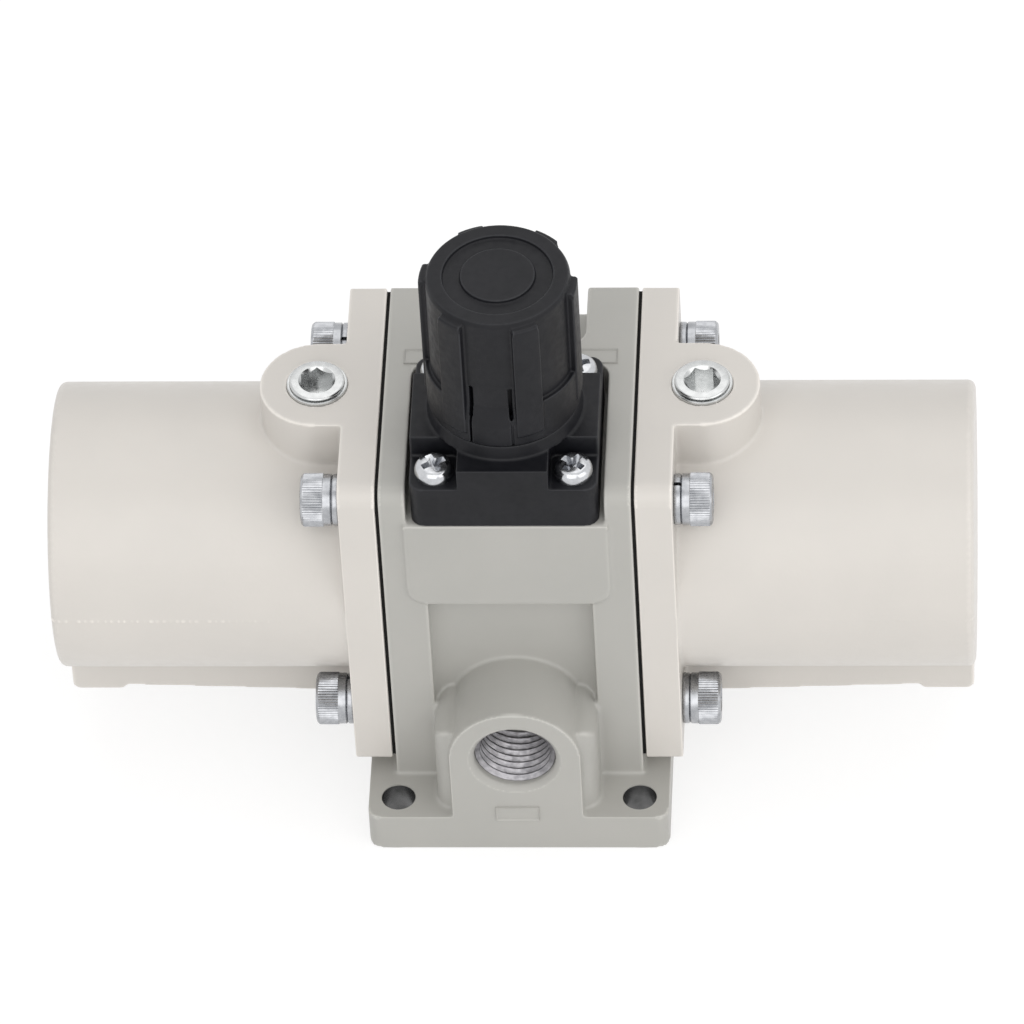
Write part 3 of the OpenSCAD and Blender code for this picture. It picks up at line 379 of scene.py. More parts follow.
class Recipe:
    """A material's node sheet, read on Object coordinates."""

    rough_span: ClassVar[tuple[float, float]] = (0.3, 0.7)
    tint_span: ClassVar[tuple[float, float]] = (0.35, 0.65)
    ring_wander: ClassVar[float] = 1.2

    def __init__(self, name: str) -> None:
        """Starts a sheet with a shader and a place to read patterns at.

        Args:
            name: The material's name.
        """
        self.made = bpy.data.materials.new(name)
        self.made.use_nodes = True
        self.tree = self.made.node_tree
        self.shader = self.tree.nodes["Principled BSDF"]
        self.spot = self.add("ShaderNodeTexCoord").outputs["Object"]

    def add(self, kind: str, **settings: object) -> bpy.types.Node:
        """Adds a node and sets its properties."""
        node = self.tree.nodes.new(kind)
        for name, value in settings.items():
            setattr(node, name, value)
        return node

    def feed(self, socket: bpy.types.NodeSocket, value: object) -> None:
        """Links a socket to an output, or sets it to a constant."""
        if isinstance(value, bpy.types.NodeSocket):
            self.tree.links.new(value, socket)
        else:
            socket.default_value = value

    def noise(self, grain: float, detail: float = 2.0,
              stretch: Colour = (1, 1, 1)) -> bpy.types.NodeSocket:
        """A cloudy pattern.

        Args:
            grain: Size of one cloud, in metres.
            detail: Octaves of finer cloud.
            stretch: How far the pattern is squeezed along X, Y and Z.

        Returns:
            The pattern, from 0 to 1.
        """
        mapping = self.add("ShaderNodeMapping")
        mapping.inputs["Scale"].default_value = stretch
        self.feed(mapping.inputs["Vector"], self.spot)
        node = self.add("ShaderNodeTexNoise")
        node.inputs["Scale"].default_value = 1 / grain
        node.inputs["Detail"].default_value = detail
        self.feed(node.inputs["Vector"], mapping.outputs["Vector"])
        return node.outputs["Fac"]

    def rings(self, pitch: float, axis: Axis) -> bpy.types.NodeSocket:
        """Turning marks at a pitch along an axis, from 0 to 1."""
        node = self.add("ShaderNodeTexWave", wave_type="BANDS", bands_direction=axis.name)
        node.inputs["Scale"].default_value = math.pi / 10 / pitch
        node.inputs["Distortion"].default_value = self.ring_wander
        node.inputs["Detail"].default_value = 2.0
        self.feed(node.inputs["Vector"], self.spot)
        return node.outputs["Fac"]

    def rough(self, pattern: bpy.types.NodeSocket, low: float, high: float) -> None:
        """Spreads the middle of a pattern over a range of roughness."""
        node = self.add("ShaderNodeMapRange")
        start, stop = self.rough_span
        settings = {"From Min": start, "From Max": stop, "To Min": low, "To Max": high}
        for name, value in settings.items():
            node.inputs[name].default_value = value
        self.feed(node.inputs["Value"], pattern)
        self.feed(self.shader.inputs["Roughness"], node.outputs["Result"])

    def tint(self, pattern: bpy.types.NodeSocket, low: Colour, high: Colour) -> None:
        """Colours the shader from one tint to another along a pattern."""
        ramp = self.add("ShaderNodeValToRGB")
        for place, share, colour in zip((0, 1), self.tint_span, (low, high)):
            ramp.color_ramp.elements[place].position = share
            ramp.color_ramp.elements[place].color = (*colour, 1)
        self.feed(ramp.inputs["Fac"], pattern)
        self.feed(self.shader.inputs["Base Color"], ramp.outputs["Color"])

    def edges(self) -> bpy.types.NodeSocket:
        """The share that a skin marks on its outward edges, from 0 on a face to 1."""
        return self.add("ShaderNodeAttribute", attribute_name=Skin.edge_mark).outputs["Fac"]

    def cover(self, share: bpy.types.NodeSocket, colour: Colour) -> None:
        """Lays a second tint over the first where a share says so.

        Args:
            share: How much of the second tint shows.
            colour: The second tint.
        """
        socket = self.shader.inputs["Base Color"]
        node = self.add("ShaderNodeMix", data_type="RGBA")
        first, second = (s for s in node.inputs if s.type == "RGBA")
        self.feed(next(s for s in node.inputs if s.type == "VALUE"), share)
        self.feed(first, socket.links[0].from_socket)
        self.feed(second, (*colour, 1))
        self.feed(socket, next(s for s in node.outputs if s.type == "RGBA"))

    def relief(self, pattern: bpy.types.NodeSocket, depth: float) -> None:
        """Adds a pattern to the surface's relief.

        Args:
            pattern: The pattern that is raised.
            depth: Height of the relief, in metres.
        """
        bump = self.add("ShaderNodeBump")
        bump.inputs["Distance"].default_value = depth
        self.feed(bump.inputs["Height"], pattern)
        socket = self.shader.inputs["Normal"]
        if socket.is_linked:
            self.feed(bump.inputs["Normal"], socket.links[0].from_socket)
        self.feed(socket, bump.outputs["Normal"])

    def set(self, **values: float) -> None:
        """Sets the shader's own sockets, with underscores for spaces in their names."""
        for name, value in values.items():
            self.shader.inputs[name.replace("_", " ")].default_value = value


class Finish:
    """A finish that is mixed once and used on many pieces."""

    name: str
    mixed: ClassVar[dict[str, bpy.types.Material]] = {}

    def material(self) -> bpy.types.Material:
        """The finish's material, mixed at its first use."""
        if self.name not in Finish.mixed:
            recipe = Recipe(self.name)
            self.mix(recipe)
            Finish.mixed[self.name] = recipe.made
        return Finish.mixed[self.name]

    def mix(self, recipe: Recipe) -> None:
        """Writes the finish on a node sheet; each finish has its own."""
        raise NotImplementedError


@dataclass(frozen=True)
class CastPaint(Finish):
    """Satin paint sprayed over a die casting."""

    name: str
    light: Colour
    dark: Colour
    gloss: float = 0.36
    edge_glint_gain: float = 1.3

    def mix(self, recipe: Recipe) -> None:
        """Uneven tint, orange peel, a fine spray grain and a painted highlight along the convex edges."""
        recipe.tint(recipe.noise(14 * MM, 3.0), self.dark, self.light)
        # Painted highlight: the convex edges are lifted towards a lighter tint, standing in for glints of
        # light on the rounded edges.
        recipe.cover(recipe.edges(), tuple(self.edge_glint_gain * part for part in self.light))
        recipe.rough(recipe.noise(1.6 * MM, 3.0), self.gloss - 0.05, self.gloss + 0.07)
        recipe.relief(recipe.noise(1.9 * MM, 2.0), 0.035 * MM)
        recipe.relief(recipe.noise(0.35 * MM, 2.0), 0.006 * MM)
        recipe.set(Specular_IOR_Level=0.4)


@dataclass(frozen=True)
class BrightPlate(Finish):
    """Bright zinc plate on steel fasteners."""

    name: str
    light: Colour
    dark: Colour
    gloss: float

    def mix(self, recipe: Recipe) -> None:
        """Cloudy bright metal with fine handling marks."""
        recipe.tint(recipe.noise(1.1 * MM, 3.0), self.dark, self.light)
        recipe.rough(recipe.noise(0.7 * MM, 3.0), self.gloss - 0.05, self.gloss + 0.07)
        recipe.relief(recipe.noise(0.5 * MM, 3.0), 0.005 * MM)
        recipe.set(Metallic=1.0)


@dataclass(frozen=True)
class MouldedNylon(Finish):
    """Black nylon with a finely eroded mould grain."""

    name: str = "black_moulding"

    def mix(self, recipe: Recipe) -> None:
        """Near black with a satin grain, faint flow clouds and a painted grey highlight along the edges."""
        recipe.tint(recipe.noise(6 * MM, 3.0), (0.0060, 0.0063, 0.0084), (0.0088, 0.0091, 0.0118))
        # Painted highlight: the edges are lifted to a dark grey, standing in for glints of light along
        # them.
        recipe.cover(recipe.edges(), (0.030, 0.031, 0.035))
        recipe.rough(recipe.noise(1.2 * MM, 3.0), 0.38, 0.52)
        recipe.relief(recipe.noise(0.22 * MM, 2.0), 0.012 * MM)
        recipe.relief(recipe.noise(2.5 * MM, 2.0), 0.03 * MM)
        recipe.set(Specular_IOR_Level=0.25)


@dataclass(frozen=True)
class Rubber(Finish):
    """Black rubber, sheet or moulded."""

    name: str
    grain: float

    def mix(self, recipe: Recipe) -> None:
        """Matt black with a fine tooth."""
        recipe.tint(recipe.noise(3 * MM, 3.0), (0.004, 0.004, 0.004), (0.009, 0.009, 0.0088))
        recipe.rough(recipe.noise(self.grain, 3.0), 0.62, 0.85)
        recipe.relief(recipe.noise(self.grain, 2.0), 0.02 * MM)
        recipe.set(Specular_IOR_Level=0.15)


@dataclass(frozen=True)
class TurnedMetal(Finish):
    """Bare metal with the marks of the lathe."""

    name: str
    light: Colour
    dark: Colour
    axis: Axis
    pitch: float = 0.18 * MM

    def mix(self, recipe: Recipe) -> None:
        """Fine rings along the turned axis over a cloudy metal."""
        rings = recipe.rings(self.pitch, self.axis)
        recipe.tint(recipe.noise(2.4 * MM, 3.0), self.dark, self.light)
        recipe.rough(rings, 0.22, 0.36)
        recipe.relief(rings, 0.004 * MM)
        recipe.set(Metallic=1.0)


@dataclass(frozen=True)
class TappedMetal(Finish):
    """Bare aluminium torn a little by the tap."""

    name: str = "tapped_aluminium"

    def mix(self, recipe: Recipe) -> None:
        """Dull crests with chatter marks along the thread."""
        recipe.tint(recipe.noise(1.4 * MM, 4.0), (0.28, 0.275, 0.29), (0.48, 0.47, 0.49))
        recipe.rough(recipe.noise(0.6 * MM, 4.0), 0.34, 0.56)
        recipe.relief(recipe.noise(0.45 * MM, 4.0, (1, 3, 1)), 0.05 * MM)
        recipe.set(Metallic=1.0)


@dataclass(frozen=True)
class DrawnWire(Finish):
    """Spring wire as it comes off the drawing die."""

    name: str = "spring_wire"

    def mix(self, recipe: Recipe) -> None:
        """Grey wire with scattered dull spots."""
        recipe.tint(recipe.noise(0.8 * MM, 3.0), (0.26, 0.27, 0.29), (0.48, 0.49, 0.51))
        recipe.rough(recipe.noise(0.4 * MM, 3.0), 0.25, 0.42)
        recipe.relief(recipe.noise(0.2 * MM, 2.0), 0.006 * MM)
        recipe.set(Metallic=1.0)


@dataclass(frozen=True)
class SlidePolymer(Finish):
    """Pale filled polymer of the wear rings."""

    name: str = "slide_polymer"

    def mix(self, recipe: Recipe) -> None:
        """Ivory with darker filler specks."""
        recipe.tint(recipe.noise(0.5 * MM, 4.0), (0.62, 0.57, 0.46), (0.80, 0.77, 0.66))
        recipe.rough(recipe.noise(0.8 * MM, 3.0), 0.42, 0.58)
        recipe.relief(recipe.noise(0.3 * MM, 2.0), 0.008 * MM)


BODY_PAINT = CastPaint("body_paint", (0.463, 0.457, 0.430), (0.445, 0.441, 0.415))
COVER_PAINT = CastPaint("cover_paint", (0.692, 0.662, 0.622), (0.674, 0.646, 0.608), 0.33)
SCREW_ZINC = BrightPlate("screw_zinc", (0.47, 0.48, 0.50), (0.37, 0.38, 0.40), 0.27)
# Painted light: a brighter copy of the screws' zinc plate, whose lighter base stands in for light reaching
# into the plugs' hexagon sockets.
LIT_PLUG_ZINC = BrightPlate("plug_zinc", (0.62, 0.63, 0.63), (0.54, 0.55, 0.55), 0.24)
PAN_ZINC = BrightPlate("pan_head_zinc", (0.60, 0.61, 0.63), (0.50, 0.51, 0.53), 0.2)
NYLON = MouldedNylon()
SHEET_RUBBER = Rubber("gasket_rubber", 0.5 * MM)
SEAL_RUBBER = Rubber("seal_rubber", 0.25 * MM)
THREAD = TappedMetal()
WIRE = DrawnWire()
# Painted shade: a dark grey lining for the foot holes, far darker than bare aluminium, stands in for the
# shade inside them.
HOLE_SHADE_LINING = TurnedMetal("hole_lining_painted_shade", (0.20, 0.20, 0.20), (0.13, 0.13, 0.13), Axis.Z)


@dataclass(frozen=True)
class Bore:
    """A machined hole, whose wall stays true in a casting."""

    axis: Axis
    centre: tuple[float, float]
    radius: float
    start: float = -math.inf
    stop: float = math.inf

    def holds(self, points: np.ndarray) -> np.ndarray:
        """Which points lie in the hole or on its wall.

        Args:
            points: Rows of X, Y and Z.

        Returns:
            True for each such point.
        """
        along = points[:, self.axis.value]
        across = np.delete(points, self.axis.value, axis=1) - np.array(self.centre)
        inside = np.hypot(across[:, 0], across[:, 1]) < self.radius
        return inside & (along > self.start) & (along < self.stop)


@dataclass
class Skin:
    """The skin of a casting or moulding, grown over a copy of its node."""

    node: str
    cell: float
    passes: int
    budget: int = 190_000
    bores: Sequence[Bore] = ()
    faces_x: Sequence[float] = ()
    face_reach: float = 1.5 * MM
    face_share: float = 0.15
    blend_boxes: Sequence[tuple[Vector, Vector]] = ()
    blend_passes: int = 22
    ease: ClassVar[float] = 0.5
    edge_mark: ClassVar[str] = "edge"
    edge_span: ClassVar[tuple[float, float]] = (0.03, 0.13)

    def soft_share(self, points: np.ndarray) -> np.ndarray:
        """How far each point may be rounded.

        Args:
            points: Rows of X, Y and Z.

        Returns:
            1 on the cast skin, less beside a machined face, least in a bore.
        """
        share = np.ones(len(points))
        for x in self.faces_x:
            near = np.abs(points[:, 0] - x) / self.face_reach
            share = np.minimum(share, np.clip(near, self.face_share, 1))
        for bore in self.bores:
            share[bore.holds(points)] = 0
        return share

    def mark(self, piece: bpy.types.Object, name: str, share: np.ndarray) -> None:
        """Stores a share of each point as a vertex group, in tenths."""
        group = piece.vertex_groups.new(name=name)
        tenths = np.round(share * 10).astype(int)
        for tenth in range(1, 11):
            group.add(np.flatnonzero(tenths == tenth).tolist(), tenth / 10, "REPLACE")

    def points(self, piece: bpy.types.Object) -> np.ndarray:
        """The places of a piece's points, as rows."""
        places = np.zeros(len(piece.data.vertices) * 3)
        piece.data.vertices.foreach_get("co", places)
        return places.reshape(-1, 3)

    def blend_share(self, points: np.ndarray) -> np.ndarray:
        """1 for the points in a box whose edges are blended wide, 0 for the rest."""
        share = np.zeros(len(points))
        for low, high in self.blend_boxes:
            share[np.all((points > np.array(low)) & (points < np.array(high)), axis=1)] = 1
        return share

    def mark_edges(self, piece: bpy.types.Object) -> None:
        """Marks how far each point stands out of its neighbours, in cells.

        Args:
            piece: The rounded skin, still on its even grid.
        """
        mesh = piece.data
        count = len(mesh.vertices)
        pairs = np.zeros(len(mesh.edges) * 2, dtype=int)
        mesh.edges.foreach_get("vertices", pairs)
        ends = np.concatenate((pairs[0::2], pairs[1::2]))
        others = np.concatenate((pairs[1::2], pairs[0::2]))
        points = self.points(piece)
        sums = np.stack([np.bincount(ends, points[others, axis], count) for axis in range(3)], axis=1)
        away = points - sums / np.maximum(np.bincount(ends, minlength=count), 1)[:, None]
        normals = np.zeros(count * 3, dtype=np.float32)
        mesh.vertex_normals.foreach_get("vector", normals)
        proud = np.sum(away * normals.reshape(-1, 3), axis=1) / self.cell
        first, full = self.edge_span
        share = np.clip((proud - first) / (full - first), 0, 1)
        mark = mesh.attributes.new(self.edge_mark, "FLOAT", "POINT")
        mark.data.foreach_set("value", share.astype(np.float32))

    def build(self, name: str, ridge: Callable[[np.ndarray], np.ndarray] | None = None,
              ridge_h: float = 0.0, filler: bpy.types.Object | None = None) -> bpy.types.Object:
        """Grows the skin and rounds it.

        Args:
            name: The piece's name.
            ridge: Gives the share of the parting line's height at each point.
            ridge_h: Height of the parting line.
            filler: Closed shapes that are grown into the skin.

        Returns:
            The rounded piece.
        """
        piece = Bench.copy_node(self.node, name)
        if filler is not None:
            Bench.pick(piece, filler)
            bpy.ops.object.join()
        Bench.modify(piece, "REMESH", mode="VOXEL", voxel_size=self.cell, use_smooth_shade=True)
        self.mark(piece, "soft", self.soft_share(self.points(piece)))
        Bench.modify(piece, "SMOOTH", factor=self.ease, iterations=self.passes, vertex_group="soft")
        if self.blend_boxes:
            self.mark(piece, "blend", self.blend_share(self.points(piece)))
            Bench.modify(piece, "SMOOTH", factor=self.ease, iterations=self.blend_passes,
                         vertex_group="blend")
        if ridge is not None:
            self.mark(piece, "ridge", ridge(self.points(piece)))
            Bench.modify(piece, "DISPLACE", strength=ridge_h, mid_level=0.0, vertex_group="ridge")
        self.mark_edges(piece)
        triangles = 2 * len(piece.data.polygons)
        if triangles > self.budget:
            Bench.modify(piece, "DECIMATE", ratio=self.budget / triangles)
        piece.vertex_groups.clear()
        Bench.pick(piece)
        bpy.ops.object.shade_smooth()
        return piece


@dataclass
class LabelFrame:
    """A bare raised frame cast where a port's mark would be."""

    width: float = 7.0 * MM
    height: float = 3.1 * MM
    rim: float = 0.3 * MM
    stand: float = 0.32 * MM
    sunk: float = 0.25 * MM
    floor_drop: float = 0.05 * MM
    edge: float = 0.07 * MM

    def build(self, name: str, places: Sequence[Matrix]) -> bpy.types.Object:
        """Models one frame facing +Z and stands it at every place.

        Args:
            name: The piece's name.
            places: Where each frame stands.

        Returns:
            The frames as one piece.
        """
        size = (self.width, self.height, self.stand + self.sunk)
        model = Bench.block(size, (0, 0, (self.stand - self.sunk) / 2))
        with Bench.editing(model) as mesh:
            Bench.choose_faces(mesh, lambda middle, normal: normal.z > 0.9)
            bpy.ops.mesh.inset(thickness=self.rim)
            bpy.ops.transform.translate(value=(0, 0, -self.stand - self.floor_drop))
        Bench.modify(model, "BEVEL", width=self.edge, segments=2, limit_method="ANGLE")
        Bench.shade(model)
        return Bench.stand(model, name, places)


@dataclass
class PortThread:
    """The tapped thread in an air port, its section in shares of the pitch and of the depth."""

    pitch: float = 1.337 * MM
    root_r: float = 6.46 * MM
    crest_r: float = 5.74 * MM
    backing: float = 0.1 * MM
    sunk: float = 0.75 * MM
    steps: int = 72
    section: Outline = (
        (0, 0), (0.06, 0.06), (0.4, 0.9), (0.46, 0.98), (0.54, 0.98), (0.6, 0.9), (0.94, 0.06), (1, 0),
    )

    def build(self, name: str, ports: Sequence[dict]) -> bpy.types.Object:
        """Models one thread along Z and screws a copy into every port.

        Args:
            name: The piece's name.
            ports: The record's mounts of the ports.

        Returns:
            The threads as one piece.
        """
        length = ports[0]["dims"]["length_mm"] * MM
        turns = int(length / self.pitch)
        depth = self.root_r - self.crest_r
        outline = [(self.root_r - share * depth, height * self.pitch) for height, share in self.section]
        model = Bench.turn("thread", outline, self.steps, self.pitch, turns)
        Bench.modify(model, "SOLIDIFY", thickness=self.backing, offset=0)
        Bench.close(model)
        Bench.shade(model, 50)
        places = []
        for port in ports:
            out = Vector(port["axis"])
            start = Vector(port["pos_m"]) - out * ((turns + 1) * self.pitch / 2 + self.sunk)
            places.append(Matrix.Translation(start) @ out.to_track_quat("Z", "X").to_matrix().to_4x4())
        return Bench.stand(model, name, places)


@dataclass
class FootHoles:
    """The four drilled holes of the foot plate, as the record's mount gives them."""

    wall_t: float = 0.03 * MM
    wall_drop: float = 0.25 * MM
    steps: int = 64

    def __post_init__(self) -> None:
        """Reads the holes' radius, depth and places."""
        mount = mounts("foot_holes")[0]
        self.radius = mount["dims"]["hole_r_mm"] * MM
        self.depth = 2 * mount["pos_m"][2]
        across, along = (mount["dims"][f"spacing_{axis}_mm"] * MM / 2 for axis in "xy")
        self.places = [Matrix.Translation((sx * across, sy * along, 0)) for sx in (-1, 1) for sy in (-1, 1)]

    def walls(self) -> bpy.types.Object:
        """Thin dark linings on the walls of the holes, as one piece: painted shade inside the holes."""
        top = self.depth - self.wall_drop
        inner, outer = self.radius - self.wall_t, self.radius + self.wall_t
        outline = [(inner, 0), (inner, top), (outer, top), (outer, 0), (inner, 0)]
        ring = Bench.turn("foot_wall", outline, self.steps)
        Bench.shade(ring)
        return Bench.stand(ring, "foot_hole_shade_linings", self.places)

    def bars(self, grow: float, past: float) -> bpy.types.Object:
        """Round bars in the holes, to fill them or to drill them.

        Args:
            grow: How much wider than the hole a bar is.
            past: How far a bar stands out of the plate, above and below.

        Returns:
            The four bars as one closed piece.
        """
        radius = self.radius + grow
        low, high = -past, self.depth + past
        bar = Bench.turn("foot_bar", [(0, low), (radius, low), (radius, high), (0, high)], self.steps)
        return Bench.stand(bar, "foot_bars", self.places)


@dataclass
class CentreBody:
    """The centre casting with dark linings in its foot holes as painted shade, its port threads and bare
    label frames.
    """

    cell: float = 0.3 * MM
    passes: int = 3
    pad_sides: tuple[float, float] = (13.4 * MM, 18.2 * MM)
    pad_heights: tuple[float, float] = (44.5 * MM, 64.6 * MM)
    pad_reach: float = 1.6 * MM
    gusset_sides: tuple[float, float] = (10.3 * MM, 14.2 * MM)
    gusset_depths: tuple[float, float] = (1.2 * MM, 7.6 * MM)
    gusset_heights: tuple[float, float] = (15.0 * MM, 26.8 * MM)
    exhaust_label_z: float = 8.2 * MM
    top_label: tuple[float, float] = (13.6 * MM, 7.45 * MM)
    hole_fill: float = 0.6 * MM
    bore_radii: tuple[tuple[str, float], ...] = (
        ("rod_seals", 7.5 * MM), ("valve_sleeve", 6.4 * MM), ("inlet_valve_cages", 4.4 * MM),
        ("outlet_valve_seats", 4.4 * MM),
    )
    pocket_r: float = 13 * MM
    pocket_low: float = 45 * MM
    pocket_lip: float = 0.3 * MM

    def bores(self) -> list[Bore]:
        """The machined holes, placed by the pieces that they hold."""
        found = []
        for node, radius in self.bore_radii:
            middle = middle_of(node)
            found.append(Bore(Axis.X, (middle.y, middle.z), radius))
        middle = middle_of("diaphragm")
        pocket_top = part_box("diaphragm")[1].z - self.pocket_lip
        found.append(Bore(Axis.Z, (middle.x, middle.y), self.pocket_r, self.pocket_low, pocket_top))
        return found

    def soft_boxes(self) -> list[tuple[Vector, Vector]]:
        """The boxes round the pad's upright edges and the gussets, on both sides of the middle."""
        front_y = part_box("right_gasket")[0].y
        foot_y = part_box("body")[0].y
        pad_depths = (front_y - self.pad_reach, front_y + self.pad_reach)
        gusset_depths = [foot_y + depth for depth in self.gusset_depths]
        boxes = []
        for sides, depths, heights in ((self.pad_sides, pad_depths, self.pad_heights),
                                       (self.gusset_sides, gusset_depths, self.gusset_heights)):
            inner, outer = sides
            for span in ((-outer, -inner), (inner, outer)):
                boxes.append(tuple(Vector(corner) for corner in zip(span, depths, heights)))
        return boxes

    def build(self) -> None:
        """Builds and dresses the casting, the threads and the frames."""
        low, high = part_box("body")
        face_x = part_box("right_gasket")[0].x
        holes = FootHoles()
        skin = Skin("body", self.cell, self.passes, bores=self.bores(), faces_x=(-face_x, face_x),
                    blend_boxes=self.soft_boxes())
        casting = skin.build("body_casting", filler=holes.bars(self.hole_fill, 0))
        Bench.cut(casting, holes.bars(0, MM))
        Bench.shade(casting, 55)
        Bench.hand_over(casting, BODY_PAINT, "body_paint", "housing", "body")
        # The dark linings paint shade into the foot holes.
        Bench.hand_over(holes.walls(), HOLE_SHADE_LINING, "bare_aluminium", "housing")
        threads = PortThread().build("port_threads", mounts("_port"))
        Bench.hand_over(threads, THREAD, "bare_aluminium", "housing")
        front = Matrix.Translation((0, low.y, self.exhaust_label_z)) @ Matrix.Rotation(math.pi / 2, 4, "X")
        x, y = self.top_label
        tops = [Matrix.Translation((sign * x, y, high.z)) for sign in (-1, 1)]
        frames = LabelFrame().build("label_frames", [front, *tops])
        Bench.hand_over(frames, BODY_PAINT, "body_paint", "housing")


@dataclass
class CylinderCover:
    """One cylinder cover: a die casting with a barrel, a gauge boss and a passage rib."""

    side: Side
    cell: float = 0.3 * MM
    passes: int = 3
    seam_z: float = 42.3 * MM
    seam_w: float = 0.2 * MM
    seam_h: float = 0.044 * MM
    seam_left_more: float = 0.026 * MM
    seam_from: float = 9 * MM
    seam_fade: float = 24 * MM
    seam_wave: float = 0.85 * MM
    flash_mean: float = 0.42
    flash_swing: float = 0.25
    flash_waves: tuple[tuple[float, float], ...] = ((1, 0), (2.3, 1), (5.1, 2))
    barrel_y: float = 22 * MM
    bore_gap: float = 0.4 * MM
    bore_depth: float = 49.5 * MM
    plug_bore_r: float = 5.3 * MM
    plug_lip: float = 0.2 * MM

    def seam(self, points: np.ndarray) -> np.ndarray:
        """How much of the ground-off parting line is left at each point of the barrel.

        Args:
            points: Rows of X, Y and Z.

        Returns:
            From 0 off the line to 1 where the most flash is left, towards the closed end.
        """
        out = np.abs(points[:, 0]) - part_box("right_cover")[0].x - self.seam_from
        barrel = (np.abs(points[:, 1]) > self.barrel_y) & (out > 0)
        line = barrel & (np.abs(points[:, 2] - self.seam_z) < self.seam_w)
        turn = out / self.seam_wave
        waves = sum(np.sin(rate * turn + phase) for rate, phase in self.flash_waves)
        rest = self.flash_mean + self.flash_swing * waves
        return line * np.clip(rest, 0, 1) * np.clip(out / self.seam_fade, 0, 1)

    def build(self) -> None:
        """Builds and dresses the casting."""
        node = f"{self.side.word}_cover"
        sign = self.side.value
        low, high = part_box(node)
        face_x = low.x if sign > 0 else high.x
        seal_low, seal_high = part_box(f"{self.side.word}_wear_ring")
        bore_r = (seal_high.z - seal_low.z) / 2 + self.bore_gap
        axis_z = (seal_high.z + seal_low.z) / 2
        plug = middle_of(f"{self.side.word}_gauge_plug")
        ends = sorted((face_x - sign * MM, face_x + sign * self.bore_depth))
        bores = [
            Bore(Axis.X, (0, axis_z), bore_r, *ends),
            Bore(Axis.Z, (plug.x, plug.y), self.plug_bore_r, axis_z, high.z - self.plug_lip),
        ]
        skin = Skin(node, self.cell, self.passes, bores=bores, faces_x=(face_x,))
        casting = skin.build(f"{node}_casting", self.seam, self.seam_h - sign * self.seam_left_more)
        Bench.hand_over(casting, COVER_PAINT, "cover_paint", "housing", node)


@dataclass
class JointGasket:
    """The black sheet between the body and one cover, cut a little short of the flange."""

    side: Side
    short: float = 0.985

    def build(self) -> None:
        """Builds and dresses the gasket."""
        node = f"{self.side.word}_gasket"
        sheet = Bench.copy_node(node, f"{node}_sheet")
        with Bench.editing(sheet):
            bpy.ops.mesh.select_all(action="SELECT")
            bpy.ops.transform.resize(value=(1, self.short, self.short), center_override=middle_of(node))
        Bench.shade(sheet)
        Bench.hand_over(sheet, SHEET_RUBBER, "gasket_rubber", "housing", node)


